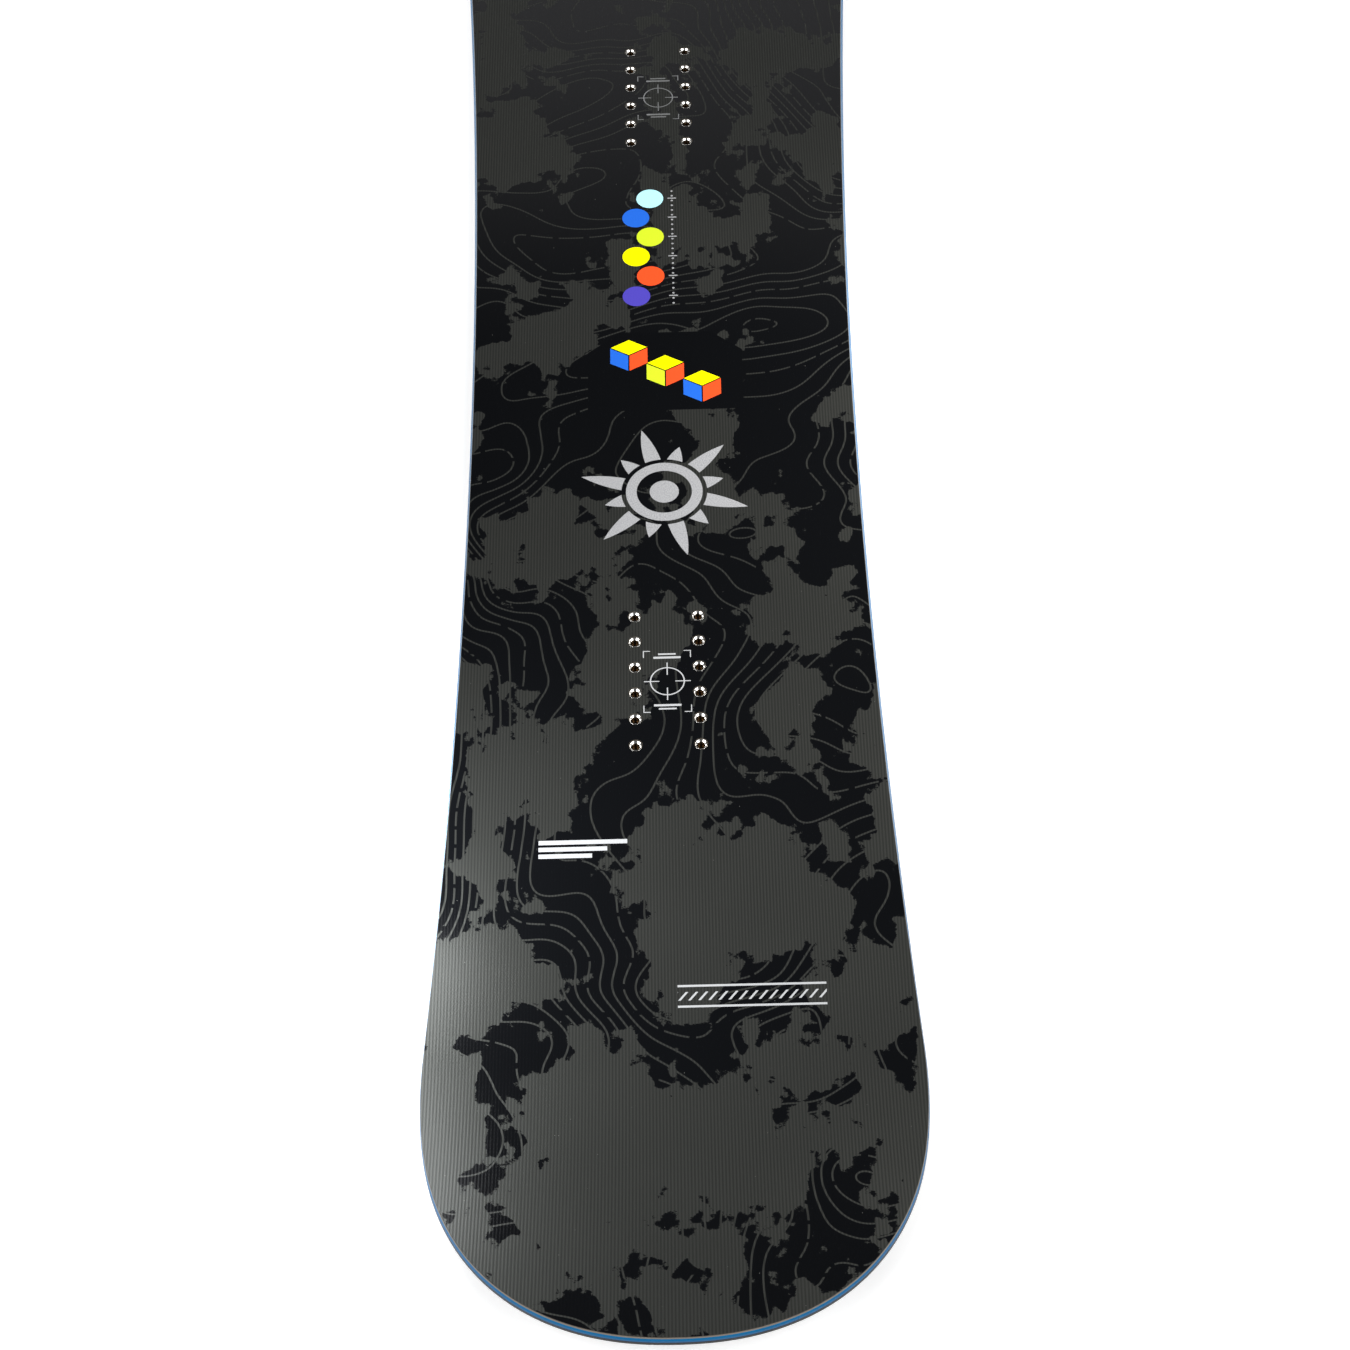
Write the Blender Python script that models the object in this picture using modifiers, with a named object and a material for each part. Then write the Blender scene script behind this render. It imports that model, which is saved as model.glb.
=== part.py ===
"""A directional snowboard of sandwich construction, bare, with twelve binding inserts under each foot.

Every layer is drawn flat, over a line `s` that runs along the running surface from tail to nose, and
is then pressed to the board's side view: tail kick, camber and nose kick. Heights `h` are measured
from the running surface, square to it. The finished board stands on its two contact lines at Z = 0,
its nose points along +Y, and the origin is under the middle of its length.
"""

import math
from bisect import bisect_right

import bmesh
import bpy
import numpy as np

# Plan, in metres along the running surface. `s` is 0 halfway between the two tips.
LENGTH = 1.540
WAIST_WIDTH = 0.257
WAIST_SETBACK = 0.087  # the narrowest place lies this far behind the middle
SIDECUT_RADIUS = 7.65
TAIL_TAPER_LENGTH = 0.205  # from where the sidecut ends to the tip
NOSE_TAPER_LENGTH = 0.262
TIP_SHOULDER = 2.05  # powers of the tips' rounding: larger is squarer
TIP_BLUNTNESS = 2.23

# Side view
CAMBER = 0.007
TAIL_KICK_LENGTH = 0.200  # from the contact line to the tip
TAIL_KICK_RADIUS = 0.380
TAIL_KICK_ANGLE = math.radians(15.3)
NOSE_KICK_LENGTH = 0.240
NOSE_KICK_RADIUS = 0.400
NOSE_KICK_ANGLE = math.radians(18.5)

# Binding inserts
STANCE_WIDTH = 0.540
STANCE_SETBACK = 0.035
INSERT_COLUMN_SPACING = 0.040
INSERT_ROW_SPACING = 0.020
INSERT_ROWS = 6
INSERT_FLANGE_RADIUS = 0.0075
INSERT_FLANGE_THICKNESS = 0.0010
INSERT_BARREL_RADIUS = 0.0040
INSERT_BORE_RADIUS = 0.0025  # the root of an M6 thread
INSERT_MOUTH_RADIUS = 0.0035
INSERT_FLOOR = 0.0012  # closed bottom under the thread
INSERT_RECESS = 0.0003  # the insert's mouth lies this far below the topsheet
INSERT_SIDES = 12
PAD_MARGIN = 0.008  # flat ground round each group of inserts

# Layers, from the running surface up
BASE_THICKNESS = 0.0012
EDGE_WIDTH = 0.0020
TANG_WIDTH = 0.0055
TANG_THICKNESS = 0.0006
EDGE_OVERRUN = 0.050  # the steel runs on past the contact lines
GLASS_THICKNESS = 0.0006
CORE_THICKNESS = 0.0054
CORE_END_THICKNESS = 0.0013
CORE_OVERRUN = 0.020
SIDEWALL_WIDTH = 0.008
SIDEWALL_BEVEL = math.radians(15.0)
NARROWEST_STRIP = 0.006
TOPSHEET_THICKNESS = 0.0004

BOND_LINE = 0.0001  # cured resin between two laminated layers
CLEARANCE = 0.0003  # round a piece that is cut to fit its neighbour

# How finely curves are drawn
KICK_STEP = 0.015
CAMBER_STEP = 0.045
TIP_POINTS = 13
OUTLINE_SAMPLES = 240

# Places along the board
TAIL_TIP = -LENGTH / 2
NOSE_TIP = LENGTH / 2
TAIL_CONTACT = TAIL_TIP + TAIL_KICK_LENGTH
NOSE_CONTACT = NOSE_TIP - NOSE_KICK_LENGTH
TAIL_FLAT = TAIL_CONTACT - TAIL_KICK_RADIUS * TAIL_KICK_ANGLE  # the kick runs straight from here out
NOSE_FLAT = NOSE_CONTACT + NOSE_KICK_RADIUS * NOSE_KICK_ANGLE
CORE_TAIL_END = TAIL_CONTACT - CORE_OVERRUN
CORE_NOSE_END = NOSE_CONTACT + CORE_OVERRUN
EDGE_TAIL_END = TAIL_CONTACT - EDGE_OVERRUN
EDGE_NOSE_END = NOSE_CONTACT + EDGE_OVERRUN
PACK_CENTRES = {
    "rear": -STANCE_SETBACK - STANCE_WIDTH / 2,
    "front": -STANCE_SETBACK + STANCE_WIDTH / 2,
}
PACK_HALF_LENGTH = (INSERT_ROWS - 1) / 2 * INSERT_ROW_SPACING + INSERT_FLANGE_RADIUS + PAD_MARGIN

# Heights that are the same all along the board
TANG_FLOOR = BASE_THICKNESS + BOND_LINE
EDGE_TOP = TANG_FLOOR + TANG_THICKNESS
LOWER_GLASS_FLOOR = EDGE_TOP + BOND_LINE
LOWER_GLASS_TOP = LOWER_GLASS_FLOOR + GLASS_THICKNESS
CORE_FLOOR = LOWER_GLASS_TOP + BOND_LINE
INSERT_HEIGHT = (
    CORE_THICKNESS + BOND_LINE + GLASS_THICKNESS + BOND_LINE + TOPSHEET_THICKNESS - INSERT_RECESS
)


def level(height):
    """A surface at one height all along the board."""
    return lambda s: height


def core_top(s):
    """The core keeps its full thickness between the two stances and thins towards both of its ends."""
    platform_tail = PACK_CENTRES["rear"] - PACK_HALF_LENGTH
    platform_nose = PACK_CENTRES["front"] + PACK_HALF_LENGTH
    if s < platform_tail:
        share = (platform_tail - s) / (platform_tail - CORE_TAIL_END)
    else:
        share = (s - platform_nose) / (CORE_NOSE_END - platform_nose)
    share = min(max(share, 0.0), 1.0)
    fade = (1 + math.cos(math.pi * share)) / 2
    return CORE_FLOOR + CORE_END_THICKNESS + (CORE_THICKNESS - CORE_END_THICKNESS) * fade


def over_core(height):
    """A surface this far above the core."""
    return lambda s: core_top(s) + height


UPPER_GLASS_FLOOR = BOND_LINE
UPPER_GLASS_TOP = UPPER_GLASS_FLOOR + GLASS_THICKNESS
TOPSHEET_FLOOR = UPPER_GLASS_TOP + BOND_LINE
TOPSHEET_TOP = TOPSHEET_FLOOR + TOPSHEET_THICKNESS


# --- Plan: the outline and its insets ---------------------------------------------------------------


def sidecut(s):
    """Half width of the sidecut's arc."""
    return WAIST_WIDTH / 2 + (s + WAIST_SETBACK) ** 2 / (2 * SIDECUT_RADIUS)


def tip_angles(count):
    return np.linspace(math.pi / 2, 0, count)


def sample_outline():
    """The outline's right half from tail tip to nose tip, and its outward normals."""
    angle = tip_angles(OUTLINE_SAMPLES)
    reach = np.sin(angle) ** (2 / TIP_SHOULDER)
    narrowing = np.cos(angle) ** (2 / TIP_BLUNTNESS)
    narrowing[0] = 0.0
    tail = TAIL_TIP + TAIL_TAPER_LENGTH * (1 - reach)
    nose = (NOSE_TIP - NOSE_TAPER_LENGTH * (1 - reach))[::-1]
    middle = np.linspace(tail[-1], nose[0], OUTLINE_SAMPLES)[1:-1]
    s = np.concatenate([tail, middle, nose])
    taper = np.concatenate([narrowing, np.ones(len(middle)), narrowing[::-1]])
    x = sidecut(s) * taper
    along_s, along_x = np.gradient(s), np.gradient(x)
    along_s[[0, -1]] = 0.0
    along = np.hypot(along_s, along_x)
    return s, x, -along_x / along, along_s / along


OUTLINE = sample_outline()


def inset_outline(inset):
    """The outline's right half, moved inwards by a distance."""
    s, x, normal_s, normal_x = OUTLINE
    return s - inset * normal_s, x - inset * normal_x


def half_width(s, inset=0.0):
    """Half the board's width at s, less an inset measured square to the outline."""
    inset_s, inset_x = inset_outline(inset)
    return float(np.interp(s, inset_s, inset_x))


def tip_point(index, nose, inset):
    """One of the points round a tip, from its flat's start towards its end, on an inset outline."""
    flat = NOSE_FLAT if nose else TAIL_FLAT
    length = NOSE_TAPER_LENGTH if nose else TAIL_TAPER_LENGTH
    reach = (abs(flat) - (LENGTH / 2 - length)) / length
    first = math.asin(reach ** (TIP_SHOULDER / 2))
    angle = first + (math.pi / 2 - first) * index / TIP_POINTS
    samples = tip_angles(OUTLINE_SAMPLES)
    inset_s, inset_x = inset_outline(inset)
    if nose:
        inset_s, inset_x = inset_s[::-1], inset_x[::-1]
    inset_s, inset_x = inset_s[:OUTLINE_SAMPLES], inset_x[:OUTLINE_SAMPLES]
    place = [float(np.interp(angle, samples[::-1], values[::-1])) for values in (inset_s, inset_x)]
    return place[0], place[1]


# --- Side view: the press ----------------------------------------------------------------------------


def running_surface(s):
    """Where a point of the flat running surface comes to lie in the side view: (y, z)."""
    if s < TAIL_CONTACT:
        out, up = kick(TAIL_CONTACT - s, TAIL_KICK_RADIUS, TAIL_KICK_ANGLE)
        return TAIL_CONTACT - out, up
    if s > NOSE_CONTACT:
        out, up = kick(s - NOSE_CONTACT, NOSE_KICK_RADIUS, NOSE_KICK_ANGLE)
        return NOSE_CONTACT + out, up
    middle = (TAIL_CONTACT + NOSE_CONTACT) / 2
    share = (s - middle) / (NOSE_CONTACT - middle)
    return s, CAMBER * (1 - share**2) ** 1.5


def kick(length, radius, angle):
    """Level and upright travel along a kick: an arc, then straight."""
    turned = min(length / radius, angle)
    straight = length - radius * turned
    out = radius * math.sin(turned) + straight * math.cos(turned)
    up = radius * (1 - math.cos(turned)) + straight * math.sin(turned)
    return out, up


def fold_lines():
    """The lines across the board where its layers bend. None crosses the flat ground at the inserts."""
    pads = [(centre - PACK_HALF_LENGTH, centre + PACK_HALF_LENGTH) for centre in PACK_CENTRES.values()]
    bends = [TAIL_FLAT, TAIL_CONTACT, NOSE_TIP - NOSE_TAPER_LENGTH, NOSE_CONTACT, NOSE_FLAT]
    bends += [CORE_TAIL_END, CORE_NOSE_END]
    marks = sorted(bends + [end for pad in pads for end in pad])
    lines = []
    for start, end in zip(marks, marks[1:]):
        on_pad = any(low - CLEARANCE < start and end < high + CLEARANCE for low, high in pads)
        kicked = end <= TAIL_CONTACT or start >= NOSE_TIP - NOSE_TAPER_LENGTH
        step = KICK_STEP if kicked else CAMBER_STEP
        count = 1 if on_pad else max(1, round((end - start) / step))
        lines += [start + (end - start) * i / count for i in range(count)]
    return lines + [marks[-1]]


FOLDS = fold_lines()
KNOTS = [TAIL_TIP] + FOLDS + [NOSE_TIP]


def press_tools():
    """The pressed place of each knot, with the step that one unit of height makes there."""
    places = np.array([running_surface(s) for s in KNOTS])
    places[:, 0] -= (places[0, 0] + places[-1, 0]) / 2
    run = np.diff(places, axis=0)
    run /= np.linalg.norm(run, axis=1)[:, None]
    normals = np.stack([-run[:, 1], run[:, 0]], axis=1)
    before = np.vstack([normals[:1], normals])
    after = np.vstack([normals, normals[-1:]])
    rise = (before + after) / (1 + np.sum(before * after, axis=1))[:, None]
    return places, rise


PLACES, RISE = press_tools()


def press(x, s, h):
    """The world point of a flat point: across the board, along it, above its running surface."""
    i = min(max(bisect_right(KNOTS, s) - 1, 0), len(KNOTS) - 2)
    share = (s - KNOTS[i]) / (KNOTS[i + 1] - KNOTS[i])
    place = (1 - share) * PLACES[i] + share * PLACES[i + 1]
    rise = (1 - share) * RISE[i] + share * RISE[i + 1]
    y, z = place + h * rise
    return x, float(y), float(z)


def tilt(s):
    """The running surface's slope at s, as a turn about X."""
    i = min(max(bisect_right(KNOTS, s) - 1, 0), len(KNOTS) - 2)
    run = PLACES[i + 1] - PLACES[i]
    return math.atan2(run[1], run[0])


# --- Making objects ------------------------------------------------------------------------------------


def clear_scene():
    for old in list(bpy.data.objects):
        bpy.data.objects.remove(old)


def new_collection(name):
    collection = bpy.data.collections.new(name)
    bpy.context.scene.collection.children.link(collection)
    return collection


def new_material(name, colour, roughness, metallic=0.0):
    material = bpy.data.materials.new(name)
    material.use_nodes = True
    shader = material.node_tree.nodes["Principled BSDF"]
    shader.inputs["Base Color"].default_value = (*colour, 1.0)
    shader.inputs["Roughness"].default_value = roughness
    shader.inputs["Metallic"].default_value = metallic
    return material


def add_object(name, mesh, collection, material=None):
    ob = bpy.data.objects.new(name, mesh)
    collection.objects.link(ob)
    if material:
        mesh.materials.append(material)
    mesh.shade_smooth()
    mesh.set_sharp_from_angle(angle=math.radians(30))
    return ob


def mesh_from(name, points, faces):
    mesh = bpy.data.meshes.new(name)
    work = bmesh.new()
    verts = [work.verts.new(point) for point in points]
    for face in faces:
        work.faces.new([verts[i] for i in face])
    bmesh.ops.recalc_face_normals(work, faces=work.faces)
    work.to_mesh(mesh)
    work.free()
    return mesh


def between(start, end):
    """The fold lines strictly between two places, with the places themselves."""
    inner = [s for s in FOLDS if start + CLEARANCE < s < end - CLEARANCE]
    return [start] + inner + [end]


def loft(name, sections, collection, material):
    """A solid through like sections along the board. A section is a loop of (x, s, h)."""
    count = len(sections[0])
    points = [press(*corner) for section in sections for corner in section]
    faces = [list(range(count)), [len(points) - 1 - i for i in range(count)]]
    for row in range(len(sections) - 1):
        for i in range(count):
            j = (i + 1) % count
            a, b = row * count, (row + 1) * count
            faces.append([a + i, a + j, b + j, b + i])
    return add_object(name, mesh_from(name, points, faces), collection, material)


def bevel_inset(h):
    """How far the bevelled side leans in at a height."""
    return max(h - EDGE_TOP, 0.0) * math.tan(SIDEWALL_BEVEL)


def sheet(name, floor, roof, material, collection, start=None, end=None, notch=0.0):
    """A full-width layer between two surfaces, out to the board's side and, where it has no start or
    end of its own, round the tips. A notch narrows it along the steel."""
    rows = between(TAIL_FLAT if start is None else start, NOSE_FLAT if end is None else end)
    insets = {s: 0.0 for s in rows}
    if notch:
        steps = [EDGE_TAIL_END - 2 * CLEARANCE, EDGE_NOSE_END + 2 * CLEARANCE]
        narrow = [EDGE_TAIL_END - CLEARANCE, EDGE_NOSE_END + CLEARANCE]
        kept = [s for s in rows if min(abs(s - place) for place in steps + narrow) > CLEARANCE]
        rows = sorted(kept + steps + narrow)
        insets = {s: notch if narrow[0] <= s <= narrow[1] else 0.0 for s in rows}
    loops = []
    for surface in (floor, roof):
        right = []
        if start is None:
            inset = bevel_inset(surface(TAIL_TIP))
            right += [tip_point(i, False, inset) for i in range(TIP_POINTS, 0, -1)]
        for s in rows:
            right.append((s, half_width(s, insets[s] + bevel_inset(surface(s)))))
        if end is None:
            inset = bevel_inset(surface(NOSE_TIP))
            right += [tip_point(i, True, inset) for i in range(1, TIP_POINTS + 1)]
        loops.append([(s, x, surface(s)) for s, x in right])
    return add_object(name, mesh_from(name, *skin(loops, start is None, end is None)), collection, material)


def skin(loops, tail_tip, nose_tip):
    """Points and faces of a symmetric layer from the right-hand rims of its two surfaces."""
    count = len(loops[0])
    points, index = [], {}
    for surface, rim in enumerate(loops):
        for i, (s, x, h) in enumerate(rim):
            for side in (1, -1):
                at_tip = (tail_tip and i == 0) or (nose_tip and i == count - 1)
                if at_tip and side < 0:
                    index[surface, i, side] = index[surface, i, 1]
                    continue
                index[surface, i, side] = len(points)
                points.append(press(0.0 if at_tip else side * x, s, h))
    first = TIP_POINTS if tail_tip else 0
    last = count - 1 - (TIP_POINTS if nose_tip else 0)
    faces = []
    for surface in (0, 1):
        for i in range(first, last):
            corners = [(i, 1), (i + 1, 1), (i + 1, -1), (i, -1)]
            faces.append([index[surface, row, side] for row, side in corners])
        if tail_tip:
            right = [index[surface, i, 1] for i in range(first + 1)]
            left = [index[surface, i, -1] for i in range(first, 0, -1)]
            faces.append(right + left)
        if nose_tip:
            right = [index[surface, i, 1] for i in range(last, count)]
            left = [index[surface, i, -1] for i in range(count - 2, last - 1, -1)]
            faces.append(right + left)
    for i in range(count - 1):
        for side in (1, -1):
            corners = [(0, i), (0, i + 1), (1, i + 1), (1, i)]
            faces.append([index[surface, row, side] for surface, row in corners])
    for i, has_tip in ((0, tail_tip), (count - 1, nose_tip)):
        if not has_tip:
            corners = [(0, 1), (0, -1), (1, -1), (1, 1)]
            faces.append([index[surface, i, side] for surface, side in corners])
    return points, faces


def rail(name, side, start, end, corners, material, collection):
    """A strip that follows one side. Its corners are (inset, height) at a place s."""
    sections = []
    for s in between(start, end):
        sections.append([(side * half_width(s, inset), s, h) for inset, h in corners(s)])
    return loft(name, sections, collection, material)


# --- The board's pieces -----------------------------------------------------------------------------


def edge_corners(s):
    """The steel edge: a square body with a flat tang above the base sheet."""
    return [
        (0.0, 0.0),
        (EDGE_WIDTH, 0.0),
        (EDGE_WIDTH, TANG_FLOOR),
        (EDGE_WIDTH + TANG_WIDTH, TANG_FLOOR),
        (EDGE_WIDTH + TANG_WIDTH, EDGE_TOP),
        (0.0, EDGE_TOP),
    ]


def sidewall_corners(s):
    top = core_top(s)
    return [
        (bevel_inset(CORE_FLOOR), CORE_FLOOR),
        (SIDEWALL_WIDTH, CORE_FLOOR),
        (SIDEWALL_WIDTH, top),
        (bevel_inset(top), top),
    ]


def core_strips(material, collection):
    """Strips of wood side by side. The inserts' columns lie on the middle lines of two of them, and
    the outermost strip on each side is cut to the sidewall."""
    pitch = INSERT_COLUMN_SPACING / 2
    room = WAIST_WIDTH / 2 - SIDEWALL_WIDTH - CLEARANCE - NARROWEST_STRIP
    full = int((room - pitch / 2) // pitch)
    strips = []
    seam = CLEARANCE / 2
    for number in range(-full - 1, full + 2):
        low = (abs(number) - 0.5) * pitch + seam
        high = (abs(number) + 0.5) * pitch - seam
        side = -1 if number < 0 else 1
        sections = []
        for s in between(CORE_TAIL_END, CORE_NOSE_END):
            inner = -high if number == 0 else low
            outer = half_width(s, SIDEWALL_WIDTH + CLEARANCE) if abs(number) > full else high
            loop = [(inner, CORE_FLOOR), (outer, CORE_FLOOR), (outer, core_top(s)), (inner, core_top(s))]
            sections.append([(side * x, s, h) for x, h in loop])
        place = "middle" if number == 0 else ("left", "right")[number > 0] + f"_{abs(number)}"
        strips.append(loft(f"core_strip_{place}", sections, collection, material))
    return strips


def turned(name, profile, sides, collection, material=None):
    """A solid turned about its own Z from a profile of (radius, height), listed top to bottom."""
    mesh = bpy.data.meshes.new(name)
    work = bmesh.new()
    verts = [work.verts.new((radius, 0.0, height)) for radius, height in profile]
    for a, b in zip(verts, verts[1:]):
        work.edges.new((a, b))
    work.to_mesh(mesh)
    work.free()
    ob = add_object(name, mesh, collection, material)
    screw = ob.modifiers.new("turn", "SCREW")
    screw.steps = sides
    screw.render_steps = sides
    screw.use_merge_vertices = True
    screw.merge_threshold = 0.00001
    return ob


def seat(ob, x, s, h):
    """Stands an object square on the pressed board."""
    ob.location = press(x, s, h)
    ob.rotation_euler = (tilt(s), 0.0, 0.0)


def insert_places():
    for pack, centre in PACK_CENTRES.items():
        for column, x in (("left", -INSERT_COLUMN_SPACING / 2), ("right", INSERT_COLUMN_SPACING / 2)):
            for row in range(INSERT_ROWS):
                s = centre + (row - (INSERT_ROWS - 1) / 2) * INSERT_ROW_SPACING
                yield f"insert_{pack}_{column}_{row + 1}", x, s


def insert_profile():
    """Flange, barrel, countersunk mouth and blind threaded bore, from the mouth round to the floor."""
    sink = INSERT_MOUTH_RADIUS - INSERT_BORE_RADIUS
    return [
        (0.0, INSERT_FLOOR),
        (INSERT_BORE_RADIUS, INSERT_FLOOR),
        (INSERT_BORE_RADIUS, INSERT_HEIGHT - sink),
        (INSERT_MOUTH_RADIUS, INSERT_HEIGHT),
        (INSERT_BARREL_RADIUS, INSERT_HEIGHT),
        (INSERT_BARREL_RADIUS, INSERT_FLANGE_THICKNESS),
        (INSERT_FLANGE_RADIUS, INSERT_FLANGE_THICKNESS),
        (INSERT_FLANGE_RADIUS, 0.0),
        (0.0, 0.0),
    ]


def drill_profile():
    """The stepped hole that takes one insert, from above the topsheet to below the core."""
    barrel = INSERT_BARREL_RADIUS + CLEARANCE
    flange = INSERT_FLANGE_RADIUS + CLEARANCE
    step = INSERT_FLANGE_THICKNESS + CLEARANCE
    above = INSERT_HEIGHT + INSERT_RECESS + CLEARANCE
    below = -BOND_LINE
    return [(0.0, above), (barrel, above), (barrel, step), (flange, step), (flange, below), (0.0, below)]


def drilled(pieces, cutters):
    """Drills the pieces for every insert."""
    graph = bpy.context.evaluated_depsgraph_get
    joined = bmesh.new()
    for name, x, s in insert_places():
        drill = turned(f"{name}_drill", drill_profile(), INSERT_SIDES, cutters)
        seat(drill, x, s, CORE_FLOOR)
        bpy.context.view_layer.update()
        bit = bpy.data.meshes.new_from_object(drill.evaluated_get(graph()))
        bit.transform(drill.matrix_world)
        joined.from_mesh(bit)
        bpy.data.objects.remove(drill)
        bpy.data.meshes.remove(bit)
    mesh = bpy.data.meshes.new("insert_drills")
    joined.to_mesh(mesh)
    joined.free()
    cutter = add_object("insert_drills", mesh, cutters)
    cutter.hide_render = True
    cutter.display_type = "WIRE"
    for piece in pieces:
        cut = piece.modifiers.new("drill", "BOOLEAN")
        cut.operation = "DIFFERENCE"
        cut.solver = "EXACT"
        cut.object = cutter


def meets_inserts(strip):
    """True if a core strip reaches into a column of inserts."""
    across = [abs(corner.co.x) for corner in strip.data.vertices]
    reach = INSERT_FLANGE_RADIUS + CLEARANCE
    column = INSERT_COLUMN_SPACING / 2
    return min(across) < column + reach and max(across) > column - reach


def build():
    clear_scene()
    board = new_collection("snowboard")
    cutters = new_collection("cutters")

    print_film = new_material("printed_topsheet", (0.016, 0.018, 0.018), 0.38)
    glass = new_material("glass_laminate", (0.42, 0.40, 0.33), 0.45)
    wood = new_material("core_wood", (0.55, 0.36, 0.18), 0.60)
    abs_plastic = new_material("blue_abs", (0.02, 0.19, 0.42), 0.30)
    steel = new_material("edge_steel", (0.58, 0.58, 0.60), 0.28, 1.0)
    stainless = new_material("insert_steel", (0.72, 0.71, 0.69), 0.18, 1.0)
    rubber = new_material("damping_rubber", (0.02, 0.02, 0.02), 0.80)
    sintered = new_material("sintered_base", (0.012, 0.012, 0.013), 0.32)

    tang_inset = EDGE_WIDTH + TANG_WIDTH + CLEARANCE
    sheet("base_sheet", level(0.0), level(BASE_THICKNESS), sintered, board, notch=EDGE_WIDTH + CLEARANCE)
    sheet("damping_sheet", level(TANG_FLOOR), level(EDGE_TOP), rubber, board, notch=tang_inset)
    sheet("lower_glass", level(LOWER_GLASS_FLOOR), level(LOWER_GLASS_TOP), glass, board)
    for name, side in (("left", -1), ("right", 1)):
        rail(f"steel_edge_{name}", side, EDGE_TAIL_END, EDGE_NOSE_END, edge_corners, steel, board)
        rail(f"sidewall_{name}", side, CORE_TAIL_END, CORE_NOSE_END, sidewall_corners, abs_plastic, board)
    core_floor = level(CORE_FLOOR)
    sheet("tail_filler", core_floor, core_top, abs_plastic, board, end=CORE_TAIL_END - CLEARANCE)
    sheet("nose_filler", core_floor, core_top, abs_plastic, board, start=CORE_NOSE_END + CLEARANCE)
    strips = core_strips(wood, board)
    upper_glass = sheet("upper_glass", over_core(UPPER_GLASS_FLOOR), over_core(UPPER_GLASS_TOP), glass, board)
    topsheet = sheet("topsheet", over_core(TOPSHEET_FLOOR), over_core(TOPSHEET_TOP), print_film, board)

    for name, x, s in insert_places():
        seat(turned(name, insert_profile(), INSERT_SIDES, board, stainless), x, s, CORE_FLOOR)
    drilled([upper_glass, topsheet] + [strip for strip in strips if meets_inserts(strip)], cutters)


build()
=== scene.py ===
import math
from functools import partialmethod

import bmesh
import bpy
import numpy as np
from mathutils import Matrix, Vector


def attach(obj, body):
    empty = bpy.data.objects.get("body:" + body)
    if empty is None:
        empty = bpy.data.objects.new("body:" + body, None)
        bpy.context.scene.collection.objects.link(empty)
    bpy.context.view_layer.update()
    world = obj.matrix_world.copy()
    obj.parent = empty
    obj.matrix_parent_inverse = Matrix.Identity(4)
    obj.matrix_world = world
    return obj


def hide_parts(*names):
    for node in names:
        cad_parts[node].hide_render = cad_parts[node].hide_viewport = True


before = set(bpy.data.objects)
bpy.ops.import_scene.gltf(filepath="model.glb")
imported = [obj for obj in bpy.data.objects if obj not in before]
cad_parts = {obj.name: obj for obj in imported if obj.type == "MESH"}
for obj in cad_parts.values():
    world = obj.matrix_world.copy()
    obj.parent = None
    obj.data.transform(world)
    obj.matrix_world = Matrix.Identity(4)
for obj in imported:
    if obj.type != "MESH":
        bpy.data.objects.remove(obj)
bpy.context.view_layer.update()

# --- The board's dimensions, in metres, as in the CAD source ------------------

LENGTH = 1.540
WAIST_WIDTH = 0.257
WAIST_SETBACK = 0.087
SIDECUT_RADIUS = 7.65
TAIL_TAPER_LENGTH = 0.205
NOSE_TAPER_LENGTH = 0.262
TIP_SHOULDER = 2.05
TIP_BLUNTNESS = 2.23
OUTLINE_SAMPLES = 240
SIDE_SAMPLES = 3081

CAMBER = 0.007
TAIL_KICK_LENGTH = 0.200
TAIL_KICK_RADIUS = 0.380
TAIL_KICK_ANGLE = math.radians(15.3)
NOSE_KICK_LENGTH = 0.240
NOSE_KICK_RADIUS = 0.400
NOSE_KICK_ANGLE = math.radians(18.5)

STANCE_WIDTH = 0.540
STANCE_SETBACK = 0.035
INSERT_COLUMN_SPACING = 0.040
INSERT_ROW_SPACING = 0.020
INSERT_ROWS = 6
INSERT_FLANGE_RADIUS = 0.0075
INSERT_FLANGE_THICKNESS = 0.0010
INSERT_BARREL_RADIUS = 0.0040
INSERT_BORE_RADIUS = 0.0025
INSERT_MOUTH_RADIUS = 0.0035
INSERT_FLOOR = 0.0012
INSERT_RECESS = 0.0003
PAD_MARGIN = 0.008

BASE_THICKNESS = 0.0012
EDGE_WIDTH = 0.0020
TANG_WIDTH = 0.0055
TANG_THICKNESS = 0.0006
EDGE_OVERRUN = 0.050
GLASS_THICKNESS = 0.0006
CORE_THICKNESS = 0.0054
CORE_END_THICKNESS = 0.0013
CORE_OVERRUN = 0.020
SIDEWALL_WIDTH = 0.008
SIDEWALL_BEVEL = math.radians(15.0)
TOPSHEET_THICKNESS = 0.0004
BOND_LINE = 0.0001
CLEARANCE = 0.0003

TAIL_TIP = -LENGTH / 2
NOSE_TIP = LENGTH / 2
TAIL_CONTACT = TAIL_TIP + TAIL_KICK_LENGTH
NOSE_CONTACT = NOSE_TIP - NOSE_KICK_LENGTH
TAIL_FLAT = TAIL_CONTACT - TAIL_KICK_RADIUS * TAIL_KICK_ANGLE
NOSE_FLAT = NOSE_CONTACT + NOSE_KICK_RADIUS * NOSE_KICK_ANGLE
CORE_TAIL_END = TAIL_CONTACT - CORE_OVERRUN
CORE_NOSE_END = NOSE_CONTACT + CORE_OVERRUN
EDGE_TAIL_END = TAIL_CONTACT - EDGE_OVERRUN
EDGE_NOSE_END = NOSE_CONTACT + EDGE_OVERRUN
REAR_PACK = -STANCE_SETBACK - STANCE_WIDTH / 2
FRONT_PACK = -STANCE_SETBACK + STANCE_WIDTH / 2
PACKS = (REAR_PACK, FRONT_PACK)
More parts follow.
